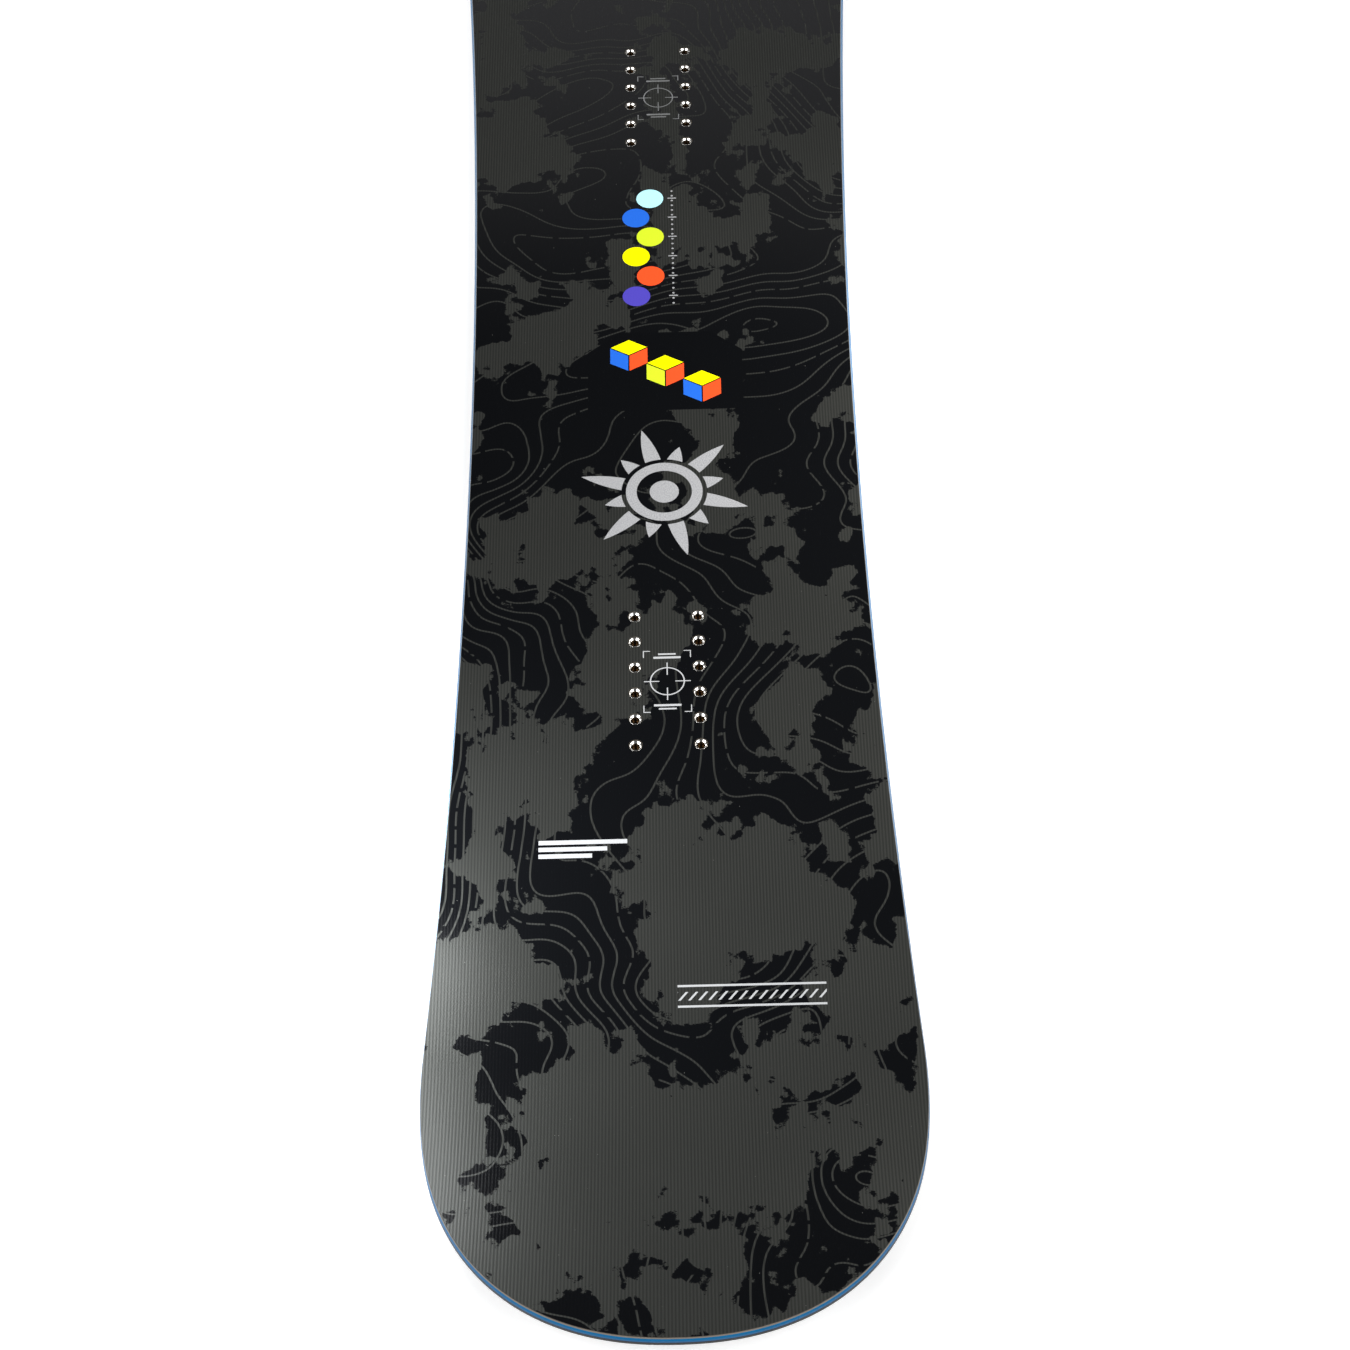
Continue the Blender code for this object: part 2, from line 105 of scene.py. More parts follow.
PACK_HALF_LENGTH = (INSERT_ROWS - 1) / 2 * INSERT_ROW_SPACING + INSERT_FLANGE_RADIUS + PAD_MARGIN

TANG_FLOOR = BASE_THICKNESS + BOND_LINE
EDGE_TOP = TANG_FLOOR + TANG_THICKNESS
CORE_FLOOR = EDGE_TOP + BOND_LINE + GLASS_THICKNESS + BOND_LINE
TOPSHEET_FLOOR = BOND_LINE + GLASS_THICKNESS + BOND_LINE
TOPSHEET_TOP = TOPSHEET_FLOOR + TOPSHEET_THICKNESS
INSERT_HEIGHT = CORE_THICKNESS + TOPSHEET_TOP - INSERT_RECESS

# --- How the visual pieces are drawn ------------------------------------------

TURN = 2 * math.pi
SHY = 0.0001  # every rim stays this far inside the CAD outline
SKIN = 0.00001  # between two visual layers, whose resin fills the bond line
RIM_RADIUS = 0.00012
RIM_SEGMENTS = 2
THIN_RIM_RADIUS = RIM_RADIUS / 2
STEEL_RIM_RADIUS = 0.00008
EDGE_BREAK = 0.00025  # the ground-off lower corner of the steel
HARD_EDGE = math.radians(35)  # an edge that turns more than this is rounded
KICK_STEP = 0.006
CAMBER_STEP = 0.011
KICK_MARGIN = 0.05  # the rows stay as close as in the kicks this far inside the contact lines
TIP_ROWS = 46
CLOSED_TIP = 0.0008  # a row of less than this half width is one point
PLAIN_COLUMNS = 7
OUTER_COLUMNS = 8
NARROW_TIP = 0.050  # below this half width the middle columns close up
CELL = INSERT_ROW_SPACING  # the side of the square round an insert
CELL_STEPS = 8  # grid steps along it
FIRST_CORNER = math.radians(-135)  # the direction of the square's left tailward corner
CELLS_HALF_LENGTH = INSERT_ROWS / 2 * CELL
GRID_REACH = INSERT_COLUMN_SPACING / 2 + CELL / 2
NUDGE = 1e-6
INSERT_HOLE = INSERT_BARREL_RADIUS + CLEARANCE
INSERT_SEGMENTS = 48
INSERT_ROUNDING = 0.00012
INSERT_SHARP_EDGE = math.radians(50)
THREAD_PITCH = 0.0010
THREAD_DEPTH = 0.00012
THREAD_ROWS = 30
THREAD_TOP = INSERT_HEIGHT - (INSERT_MOUTH_RADIUS - INSERT_BORE_RADIUS)


# --- Plan ---------------------------------------------------------------------

TIP_ANGLES = np.linspace(math.pi / 2, 0, OUTLINE_SAMPLES)  # round a tip, from its very end


def sidecut(s):
    """Half width of the sidecut's arc."""
    return WAIST_WIDTH / 2 + (s + WAIST_SETBACK) ** 2 / (2 * SIDECUT_RADIUS)


def sample_outline():
    """The outline's right half from tail tip to nose tip, and its outward normals."""
    reach = np.sin(TIP_ANGLES) ** (2 / TIP_SHOULDER)
    narrowing = np.cos(TIP_ANGLES) ** (2 / TIP_BLUNTNESS)
    narrowing[0] = 0.0
    tail = TAIL_TIP + TAIL_TAPER_LENGTH * (1 - reach)
    nose = (NOSE_TIP - NOSE_TAPER_LENGTH * (1 - reach))[::-1]
    middle = np.linspace(tail[-1], nose[0], OUTLINE_SAMPLES)[1:-1]
    s = np.concatenate([tail, middle, nose])
    taper = np.concatenate([narrowing, np.ones(len(middle)), narrowing[::-1]])
    x = sidecut(s) * taper
    along_s, along_x = np.gradient(s), np.gradient(x)
    along_s[[0, -1]] = 0.0
    along = np.hypot(along_s, along_x)
    return s, x, -along_x / along, along_s / along


OUTLINE = sample_outline()


def inset_outline(inset):
    """The outline's right half, moved inwards by a distance."""
    s, x, normal_s, normal_x = OUTLINE
    return s - inset * normal_s, x - inset * normal_x


def half_width(s, inset=0.0):
    """Half the board's width at s, less an inset measured square to the outline."""
    inset_s, inset_x = inset_outline(inset)
    return float(np.interp(s, inset_s, inset_x))


def tip_start(nose):
    """The angle at which a tip's kick runs straight."""
    flat = NOSE_FLAT if nose else TAIL_FLAT
    length = NOSE_TAPER_LENGTH if nose else TAIL_TAPER_LENGTH
    reach = (abs(flat) - (LENGTH / 2 - length)) / length
    return math.asin(reach ** (TIP_SHOULDER / 2))


# --- Side view ----------------------------------------------------------------


def kick(length, radius, angle):
    """Level and upright travel along a kick: an arc, then straight."""
    turned = min(length / radius, angle)
    straight = length - radius * turned
    out = radius * math.sin(turned) + straight * math.cos(turned)
    up = radius * (1 - math.cos(turned)) + straight * math.sin(turned)
    return out, up


def running_surface(s):
    """Where a point of the flat running surface comes to lie in the side view: (y, z)."""
    if s < TAIL_CONTACT:
        out, up = kick(TAIL_CONTACT - s, TAIL_KICK_RADIUS, TAIL_KICK_ANGLE)
        return TAIL_CONTACT - out, up
    if s > NOSE_CONTACT:
        out, up = kick(s - NOSE_CONTACT, NOSE_KICK_RADIUS, NOSE_KICK_ANGLE)
        return NOSE_CONTACT + out, up
    middle = (TAIL_CONTACT + NOSE_CONTACT) / 2
    share = (s - middle) / (NOSE_CONTACT - middle)
    return s, CAMBER * (1 - share**2) ** 1.5


def side_view():
    """The side view drawn finely: places along the board, their (y, z) and the unit normals.
    The ground under each group of inserts is flat, as in the CAD."""
    s = np.linspace(TAIL_TIP, NOSE_TIP, SIDE_SAMPLES)
    places = np.array([running_surface(value) for value in s])
    for centre in PACKS:
        ends = [centre - PACK_HALF_LENGTH, centre + PACK_HALF_LENGTH]
        on_pad = (s > ends[0]) & (s < ends[1])
        heights = [running_surface(end)[1] for end in ends]
        places[on_pad, 1] = np.interp(s[on_pad], ends, heights)
    places[:, 0] -= (places[0, 0] + places[-1, 0]) / 2
    run = np.gradient(places, axis=0)
    run /= np.linalg.norm(run, axis=1)[:, None]
    return s, places, np.stack([-run[:, 1], run[:, 0]], axis=1)


SIDE_S, SIDE_PLACES, SIDE_NORMALS = side_view()


def side_at(s, table):
    return [float(np.interp(s, SIDE_S, table[:, i])) for i in (0, 1)]


def press(x, s, h):
    """The world point of a flat point: across the board, along it, above its running surface."""
    y, z = side_at(s, SIDE_PLACES)
    normal_y, normal_z = side_at(s, SIDE_NORMALS)
    return x, y + h * normal_y, z + h * normal_z


def tilt(s):
    """How far the board's upward direction at s leans, as a turn about X."""
    normal_y, normal_z = side_at(s, SIDE_NORMALS)
    return math.atan2(-normal_y, normal_z)


# --- Heights ------------------------------------------------------------------


def level(height):
    """A surface at one height all along the board."""
    return lambda s: height


def core_top(s):
    """The core keeps its full thickness between the two stances and thins towards both of its ends."""
    platform_tail = REAR_PACK - PACK_HALF_LENGTH
    platform_nose = FRONT_PACK + PACK_HALF_LENGTH
    if s < platform_tail:
        share = (platform_tail - s) / (platform_tail - CORE_TAIL_END)
    else:
        share = (s - platform_nose) / (CORE_NOSE_END - platform_nose)
    share = min(max(share, 0.0), 1.0)
    fade = (1 + math.cos(math.pi * share)) / 2
    return CORE_FLOOR + CORE_END_THICKNESS + (CORE_THICKNESS - CORE_END_THICKNESS) * fade


def over_core(height):
    """A surface this far above the core."""
    return lambda s: core_top(s) + height


def bevel_inset(h):
    """How far the bevelled side leans in at a height."""
    return max(h - EDGE_TOP, 0.0) * math.tan(SIDEWALL_BEVEL)


# --- Layers -------------------------------------------------------------------


def tip_rows(kind):
    """The rows round one tip, out to its end."""
    first = tip_start(kind == "nose")
    return [(kind, first + (math.pi / 2 - first) * i / TIP_ROWS) for i in range(1, TIP_ROWS + 1)]


def stations(start=None, end=None, steps=()):
    """The rows across a layer, tail to nose: ("tail" or "nose", angle) round a tip, else ("s", place)."""
    low = TAIL_FLAT if start is None else start
    high = NOSE_FLAT if end is None else end
    pads = [(centre - CELLS_HALF_LENGTH, centre + CELLS_HALF_LENGTH) for centre in PACKS]
    marks = {low, high} | set(steps)
    marks |= {place for place in (TAIL_CONTACT, 0.0, NOSE_CONTACT) if low < place < high}
    marks |= {place for pad in pads for place in pad if low < pad[0] and pad[1] < high}
    marks = sorted(marks)
    places = []
    for a, b in zip(marks, marks[1:]):
        close = b <= TAIL_CONTACT + KICK_MARGIN or a >= NOSE_CONTACT - KICK_MARGIN
        step = KICK_STEP if close else CAMBER_STEP
        count = max(1, round((b - a) / step))
        if (a, b) in pads:
            count = INSERT_ROWS * CELL_STEPS
        places += [a + (b - a) * i / count for i in range(count)]
    rows = [("s", place) for place in places + [high]]
    if start is None:
        rows = tip_rows("tail")[::-1] + rows
    if end is None:
        rows += tip_rows("nose")
    return rows


def row_place(row, inset):
    """A row's place along the board and its half width, inset from the outline. The angle of a row
    round a tip is a quarter turn at the very end."""
    kind, value = row
    if kind == "s":
        return value, half_width(value, inset)
    way = -1 if kind == "nose" else 1
    tip = [line[::way][:OUTLINE_SAMPLES] for line in inset_outline(inset)]
    return tuple(float(np.interp(value, TIP_ANGLES[::-1], line[::-1])) for line in tip)


def grid_columns(half):
    """Places across a row whose middle is divided to suit the inserts' cells."""
    inner = np.linspace(-GRID_REACH, GRID_REACH, 3 * CELL_STEPS + 1) * min(1.0, half / NARROW_TIP)
    outer = np.linspace(inner[-1], half, OUTER_COLUMNS + 1)[1:]
    return list(-outer[::-1]) + list(inner) + list(outer)


def plain_columns(half):
    return list(np.linspace(-half, half, PLAIN_COLUMNS))


def in_cell(place, column):
    """Whether a grid step lies in an insert's cell, by its row's place and its column number."""
    inner = column - OUTER_COLUMNS
    if not (0 <= inner < CELL_STEPS or 2 * CELL_STEPS <= inner < 3 * CELL_STEPS):
        return False
    return any(abs(place + NUDGE - centre) < CELLS_HALF_LENGTH for centre in PACKS)


def new_mesh(name, work, *materials):
    """A smooth mesh from finished work, with its materials."""
    bmesh.ops.recalc_face_normals(work, faces=work.faces)
    mesh = bpy.data.meshes.new(name)
    work.to_mesh(mesh)
    work.free()
    mesh.shade_smooth()
    for material in materials:
        mesh.materials.append(material)
    return mesh


def put(name, data):
    """A new object in the scene."""
    ob = bpy.data.objects.new(name, data)
    bpy.context.scene.collection.objects.link(ob)
    return ob


def round_edges(ob, radius):
    bevel = ob.modifiers.new("rounding", "BEVEL")
    bevel.width = radius
    bevel.segments = RIM_SEGMENTS
    bevel.limit_method = "ANGLE"
    bevel.angle_limit = HARD_EDGE
    bevel.use_clamp_overlap = False
    bevel.harden_normals = True


def flat_vertex(work, x, s, surface, number):
    """A vertex pressed into the board's shape, which notes its flat place and its surface's number."""
    vertex = work.verts.new(press(x, s, surface(s)))
    vertex[work.verts.layers.float_vector["flat"]] = (x, s, number)
    return vertex


def skin_loops(work, loops, count):
    """Joins loops of vertices with faces. A loop has count vertices, or one where it closes."""
    faces = []
    for near, far in zip(loops, loops[1:]):
        for i in range(count):
            j = (i + 1) % count
            corners = [near[i % len(near)], near[j % len(near)], far[j % len(far)], far[i % len(far)]]
            faces.append(work.faces.new(list(dict.fromkeys(corners))))
    return faces


def layer_grid(work, surface, number, rows, columns, notch):
    """The vertices of one surface of a layer: each row's place along the board and its vertices."""
    grid = []
    for row in rows:
        s, _ = row_place(row, 0.0)
        narrower = notch if EDGE_TAIL_END < s < EDGE_NOSE_END else 0.0
        s, half = row_place(row, SHY + narrower + bevel_inset(surface(s)))
        if half < CLOSED_TIP:
            across = [flat_vertex(work, 0.0, s, surface, number)] * len(columns(1.0))
        else:
            across = [flat_vertex(work, x, s, surface, number) for x in columns(half)]
        grid.append((s, across))
    return grid


def skin_grid(work, grid, drilled):
    """The faces of one surface of a layer, without the cells that get a hole."""
    faces = []
    for (s, near), (_, far) in zip(grid, grid[1:]):
        for i in range(len(near) - 1):
            if drilled and in_cell(s, i):
                continue
            corners = list(dict.fromkeys([near[i], near[i + 1], far[i + 1], far[i]]))
            if len(corners) > 2:
                faces.append(work.faces.new(corners))
    return faces


def close_rim(work, low, high):
    """The faces all round a layer, between its lower and its upper grid."""
    for (_, low_near), (_, low_far), (_, high_near), (_, high_far) in zip(low, low[1:], high, high[1:]):
        for i in (0, -1):
            corners = [low_near[i], low_far[i], high_far[i], high_near[i]]
            work.faces.new(list(dict.fromkeys(corners)))
    for end in (0, -1):
        (_, below), (_, above) = low[end], high[end]
        if below[0] is not below[1]:
            for i in range(len(below) - 1):
                work.faces.new([below[i], below[i + 1], above[i + 1], above[i]])


def layer(floor, roof, start=None, end=None, notch=0.0, drilled=False):
    """A closed layer between two surfaces, out to the board's side, with a list of its upper faces.
    A notch narrows it along the steel, and a drilled layer has a hole for every insert."""
    steps = []
    if notch:
        for place in (EDGE_TAIL_END, EDGE_NOSE_END):
            steps += [place - CLEARANCE, place + CLEARANCE]
    rows = stations(start, end, steps)
    columns = grid_columns if drilled else plain_columns
    work = bmesh.new()
    work.verts.layers.float_vector.new("flat")
    surfaces = (floor, roof)
    sides = [layer_grid(work, surfaces[i], i, rows, columns, notch) for i in (0, 1)]
    _, upper = [skin_grid(work, grid, drilled) for grid in sides]
    close_rim(work, *sides)
    if drilled:
        for _, x, s in insert_places():
            upper += drill(work, sides, x, s, surfaces)
    return work, upper


def cell_border():
    """The grid points round a square cell, as (row, column), from its left tailward corner."""
    steps = range(CELL_STEPS)
    border = [(0, i) for i in steps] + [(i, CELL_STEPS) for i in steps]
    return border + [(CELL_STEPS, CELL_STEPS - i) for i in steps] + [(CELL_STEPS - i, 0) for i in steps]


def ring_point(x, s, border, i, share):
    """A point on the way from a border point of the cell round (x, s) to the round hole."""
    row, column = border[i]
    turn = FIRST_CORNER + TURN * i / len(border)
    square_x = (column / CELL_STEPS - 0.5) * CELL
    square_s = (row / CELL_STEPS - 0.5) * CELL
    at_x = x + square_x * (1 - share) + INSERT_HOLE * math.cos(turn) * share
    at_s = s + square_s * (1 - share) + INSERT_HOLE * math.sin(turn) * share
    return at_x, at_s


def drill(work, sides, x, s, surfaces):
    """Fills the cell round one insert with rings that lead to a round hole. Gives its upper faces."""
    first = min(range(len(sides[0])), key=lambda i: abs(sides[0][i][0] - (s - CELL / 2)))
    left = OUTER_COLUMNS + (0 if x < 0 else 2 * CELL_STEPS)
    border = cell_border()
    bores = []
    for number, surface in enumerate(surfaces):
        rings = [[sides[number][first + row][1][left + column] for row, column in border]]
        for share in (0.5, 1.0):
            places = [ring_point(x, s, border, i, share) for i in range(len(border))]
            rings.append([flat_vertex(work, *place, surface, number) for place in places])
        upper = skin_loops(work, rings, len(border))
        bores.append(rings[-1])
    skin_loops(work, bores, len(border))
    return upper


def insert_places():
    """Each insert's CAD node with its place."""
    for pack, centre in (("rear", REAR_PACK), ("front", FRONT_PACK)):
        for column, x in (("left", -INSERT_COLUMN_SPACING / 2), ("right", INSERT_COLUMN_SPACING / 2)):
            for row in range(INSERT_ROWS):
                s = centre + (row - (INSERT_ROWS - 1) / 2) * INSERT_ROW_SPACING
                yield f"insert_{pack}_{column}_{row + 1}", x, s


def dress(ob, slot, *nodes):
    """Rides on the board and stands for its CAD nodes. Its slot is not used."""
    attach(ob, "root")
    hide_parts(*nodes)


def add_piece(name, node, slot, mesh, rounding):
    """A piece of the board that stands for its CAD node, with its hard edges rounded."""
    ob = put(name, mesh)
    round_edges(ob, rounding)
    dress(ob, slot, node)


def plain_layer(name, node, slot, floor, roof, material, rounding=RIM_RADIUS, **options):
    """A layer of one material."""
    work, _ = layer(floor, roof, **options)
    add_piece(name, node, slot, new_mesh(name, work, material), rounding)


def rail(name, node, slot, side, start, end, corners, material, rounding=RIM_RADIUS):
    """A strip that follows one side. Its corners are (inset, height) at a place s."""
    count = max(2, round((end - start) / KICK_STEP))
    work = bmesh.new()
    sections = []
    for i in range(count + 1):
        s = start + (end - start) * i / count
        points = [press(side * half_width(s, SHY + inset), s, h) for inset, h in corners(s)]
        sections.append([work.verts.new(point) for point in points])
    work.faces.new(sections[0])
    work.faces.new(sections[-1][::-1])
    skin_loops(work, sections, len(sections[0]))
    add_piece(name, node, slot, new_mesh(name, work, material), rounding)


# --- Shader nodes -------------------------------------------------------------


class Field:
    """A number that varies over a surface, as a socket of a node tree, with arithmetic."""

    def __init__(self, socket):
        self.socket = socket
        self.tree = socket.id_data

    def math(self, operation, *others):
        node = self.tree.nodes.new("ShaderNodeMath")
        node.operation = operation
        for number, value in enumerate((self, *others)):
            feed(node.inputs[number], value)
        return Field(node.outputs[0])

    __add__ = partialmethod(math, "ADD")
    __sub__ = partialmethod(math, "SUBTRACT")
    __mul__ = partialmethod(math, "MULTIPLY")
    __truediv__ = partialmethod(math, "DIVIDE")
    __abs__ = partialmethod(math, "ABSOLUTE")
    above = partialmethod(math, "GREATER_THAN")
    below = partialmethod(math, "LESS_THAN")
    most = partialmethod(math, "MAXIMUM")
    fract = partialmethod(math, "FRACT")
    sine = partialmethod(math, "SINE")

    def rest(self):
        return self * -1.0 + 1.0

    def ramp(self, low, high, start=0.0, end=1.0):
        """Goes smoothly from start to end while this goes from low to high."""
        node = self.tree.nodes.new("ShaderNodeMapRange")
        node.interpolation_type = "SMOOTHSTEP"
        for socket, value in zip(node.inputs, (self, low, high, start, end)):
            feed(socket, value)
        return Field(node.outputs[0])


def feed(socket, value):
    """Gives a socket a field, a vector's socket, a colour or a plain number."""
    if isinstance(value, Field):
        value = value.socket
    if isinstance(value, bpy.types.NodeSocket):
        socket.id_data.links.new(value, socket)
    elif isinstance(value, tuple):
        socket.default_value = (*value, 1.0)
    else:
        socket.default_value = value


def split(vector):
    """The X, Y and Z of a vector."""
    node = vector.id_data.nodes.new("ShaderNodeSeparateXYZ")
    feed(node.inputs[0], vector)
    return [Field(output) for output in node.outputs]


def vector_of(x, y, z):
    node = x.tree.nodes.new("ShaderNodeCombineXYZ")
    for socket, value in zip(node.inputs, (x, y, z)):
        feed(socket, value)
    return node.outputs[0]


def texture(kind, vector, output, **settings):
    """One output of a texture node as a field."""
    node = vector.id_data.nodes.new(kind)
    feed(node.inputs["Vector"], vector)
    for name, value in settings.items():
        node.inputs[name].default_value = value
    return Field(node.outputs[output])


def noise(vector, scale, detail=2.0, roughness=0.5, distortion=0.0):
    return texture("ShaderNodeTexNoise", vector, "Fac", Scale=scale, Detail=detail,
                   Roughness=roughness, Distortion=distortion)


def cells(vector, scale):
    """How far the surface point is from the nearest of many scattered points."""
    return texture("ShaderNodeTexVoronoi", vector, "Distance", Scale=scale)


def vector_math(operation, vector, constant):
    node = vector.id_data.nodes.new("ShaderNodeVectorMath")
    node.operation = operation
    feed(node.inputs[0], vector)
    node.inputs[1].default_value = constant
    return node.outputs[0]


def shifted(vector, offset):
    return vector_math("ADD", vector, offset)


def stretched(vector, factors):
    return vector_math("MULTIPLY", vector, factors)


def mixed(share, low, high):
    """A colour that goes from low to high with share. One of the three is a field."""
    tree = next(value.tree for value in (share, low, high) if isinstance(value, Field))
    node = tree.nodes.new("ShaderNodeMix")
    node.data_type = "RGBA"
    for number, value in ((0, share), (6, low), (7, high)):
        feed(node.inputs[number], value)
    return Field(node.outputs[2])


def bumped(height, distance):
    """The normal of a surface whose relief is this high."""
    node = height.tree.nodes.new("ShaderNodeBump")
    node.inputs["Distance"].default_value = distance
    feed(node.inputs["Height"], height)
    return node.outputs[0]


def srgb(red, green, blue):
    """A screen colour of 0 to 255 as the linear colour that a shader takes."""
    linear = []
    for value in (red / 255, green / 255, blue / 255):
        linear.append(value / 12.92 if value <= 0.04045 else ((value + 0.055) / 1.055) ** 2.4)
    return tuple(linear)


def new_material(name):
    """A material with its shader and the surface point in metres."""
    material = bpy.data.materials.new(name)
    material.use_nodes = True
    nodes = material.node_tree.nodes
    return material, nodes["Principled BSDF"], nodes.new("ShaderNodeTexCoord").outputs["Object"]


def finish_shader(shader, colour, roughness, normal=None, **plain):
    """Sets the shader's colour, roughness and relief. Other sockets are set by their name."""
    feed(shader.inputs["Base Color"], colour)
    feed(shader.inputs["Roughness"], roughness)
    for name, value in plain.items():
        shader.inputs[name.replace("_", " ")].default_value = value
    if normal:
        feed(shader.inputs["Normal"], normal)


# --- Materials ----------------------------------------------------------------

RIB_PITCH = 0.0019
WEFT_PITCH = 0.0026
RELIEF = 0.000012  # how far the weave stands up
STAIN_BLACK = srgb(11, 12, 14)
NOSEWARD_PAINTED_REFLECTION = srgb(46, 46, 47)  # painted reflection: the black stains are drawn this pale at the nose, for the far film's reflection of the room
OLIVE_LOW = srgb(66, 67, 64)
OLIVE_HIGH = srgb(72, 73, 70)
OLIVE_METALLIC = 0.6
RIB_GROOVE_PAINTED_SHADE = 0.34  # painted shade: how much darker the olive is drawn between two ribs, where the rib relief would be in shade


def film_relief(point, x, y):
    """The glass weave that shows through the film: ribs along the board, crossed by finer marks."""
    ribs = (x * (TURN / RIB_PITCH)).sine()
    weft = (y * (TURN / WEFT_PITCH)).sine()
    uneven = noise(point, 90.0, 2.0)
    grain = noise(point, 2500.0, 1.0)
    return ribs * (uneven * 0.8 + 0.5) + ribs * weft * 0.35 + grain * 0.25


def finish_film(shader, colour, point, normal):
    """Ink that mirrors only as far as it is metallic, under a clear, glossier coat with its relief."""
    smudges = noise(point, 14.0, 3.0)
    finish_shader(shader, colour, smudges.ramp(0.3, 0.75, 0.36, 0.40), normal,
                  Specular_IOR_Level=0.0, Coat_Weight=0.15, Coat_Roughness=0.20, Coat_IOR=1.45)
    feed(shader.inputs["Coat Normal"], normal)


# --- Printed artwork ----------------------------------------------------------
# Each motif takes the place on the film and gives its share of cover, and its ink where it has several.

SCALE_INKS = [srgb(80, 70, 180), srgb(252, 84, 40), srgb(252, 248, 4),
              srgb(208, 230, 46), srgb(40, 105, 215), srgb(185, 243, 252)]
SILVER_DARK = srgb(138, 139, 141)
SILVER_PALE = srgb(178, 178, 180)
MARK_GREY = srgb(178, 179, 180)
DISC_PITCH = 0.0195
DISC_RADIUS = 0.0095
RULE_OFFSET = 0.0205
BURST_RAYS = 12
BURST_DISC = 0.0095
BURST_RING = 0.0215
BURST_ROOT = 0.028  # where the rays start
BURST_SHORT_RAY = 0.040
BURST_RAY_STEP = 0.016
BLOCK_REACH = 0.0145
BLOCK_SLOPE = 0.5774  # tangent of 30 degrees
BLOCK_NARROWING = 0.866  # cosine of 30 degrees
BLOCK_JOINT = 0.0005
BLOCK_PLACES = ((-0.0245, 0.0150, 4), (0.0, 0.0, 3), (0.0245, -0.0150, 4))  # x, y, left face's ink
PATCH_PLACE = (0.002, -0.042)
DISCS_PLACE = (-0.012, 0.078)
BURST_PLACE = (0.0, -0.150)
BARS_PLACE = (-0.052, -0.428)
HATCH_PLACE = (0.046, -0.530)
FRONT_MARKS_STRENGTH = 0.45  # they are printed fainter


def about(x, y, place):
    """A place on the film as seen from a motif's own middle."""
    return x - place[0], y - place[1]


def box(x, y, half_x, half_y):
    return abs(x).below(half_x) * abs(y).below(half_y)


def frame_of(x, y, half_x, half_y, line):
    """The outline of a rectangle."""
    return box(x, y, half_x, half_y) * box(x, y, half_x - line, half_y - line).rest()


def radius_of(x, y):
    return (x * x + y * y).math("SQRT")


def colour_discs(x, y):
    """Six coloured discs that step from side to side, with a dotted rule beside them."""
    count = len(SCALE_INKS)
    place = y / DISC_PITCH + count / 2
    number = place.math("FLOOR")
    sway = (number / 2.0).fract() * 0.020 - 0.005
    inside = abs(y).below(count / 2 * DISC_PITCH)
    off_centre = (place.fract() - 0.5) * DISC_PITCH
    disc = radius_of(x - sway, off_centre).below(DISC_RADIUS) * inside
    choice = x.tree.nodes.new("ShaderNodeValToRGB")
    choice.color_ramp.interpolation = "CONSTANT"
    for position in range(1, count - 1):
        choice.color_ramp.elements.new(position / count)
    for position, (element, ink) in enumerate(zip(choice.color_ramp.elements, SCALE_INKS)):
        element.position = position / count
        element.color = (*ink, 1.0)
    feed(choice.inputs[0], (number + 0.5) / count)
    beat = ((y / (DISC_PITCH / 4)).fract() - 0.5) * (DISC_PITCH / 4)
    rule = radius_of(x - RULE_OFFSET, beat).below(0.0008) * inside
    rule = rule.most(box(x - RULE_OFFSET, off_centre, 0.0030, 0.0005) * inside)
    return disc, Field(choice.outputs[0]), rule


def sunburst(x, y):
    """A ring round a disc, with long and short pointed rays."""
    reach = radius_of(x, y)
    turn = y.math("ARCTAN2", x) * (BURST_RAYS / TURN) + BURST_RAYS
    long = (turn.math("FLOOR") / 2.0).fract().above(0.25)
    tip = long * BURST_RAY_STEP + BURST_SHORT_RAY
    across = abs(turn.fract() - 0.5)
    ray = across.below((tip - reach) / (tip - BURST_ROOT) * 0.36) * reach.above(BURST_ROOT)
    ring = abs(reach - BURST_RING).below(0.0035)
    return ray.most(ring).most(reach.below(BURST_DISC))


def block_faces(x, y, left_ink):
    """One cube seen from a corner: its cover, with black joints, and its ink."""
    slope = abs(x) * BLOCK_SLOPE
    outer = box(x, slope + abs(y), BLOCK_REACH * BLOCK_NARROWING, BLOCK_REACH)
    top = y.above(slope)
    joint = abs(y - slope).below(BLOCK_JOINT).most(abs(x).below(BLOCK_JOINT * 0.9) * top.rest())
    right = x.above(0.0)
    sides = mixed(right, SCALE_INKS[left_ink], SCALE_INKS[1])
    ink = mixed(top, sides, SCALE_INKS[2])
    return outer * joint.rest(), ink


def pack_marks(x, y):
    """A sight between two rows of inserts: a ring, a broken cross, bars at both ends and corners."""
    ring = abs(radius_of(x, y) - 0.0105).below(0.0004)
    arms = box(x, y, 0.0145, 0.00035).most(box(x, y, 0.00035, 0.0145)) * box(x, y, 0.0050, 0.0050).rest()
    bars = box(x, abs(y) - 0.0185, 0.0085, 0.0008).most(box(x, abs(y) - 0.0212, 0.0055, 0.0006))
    corners = frame_of(x, y, 0.0150, 0.0240, 0.0006) * abs(x).above(0.0105) * abs(y).above(0.0185)
    return ring.most(arms).most(bars).most(corners)


def plain_bars(x, y):
    """Three bars of unlike lengths."""
    bars = box(x, y - 0.0048, 0.0265, 0.0015).most(box(x + 0.0060, y, 0.0205, 0.0015))
    return bars.most(box(x + 0.0105, y + 0.0048, 0.0160, 0.0015))


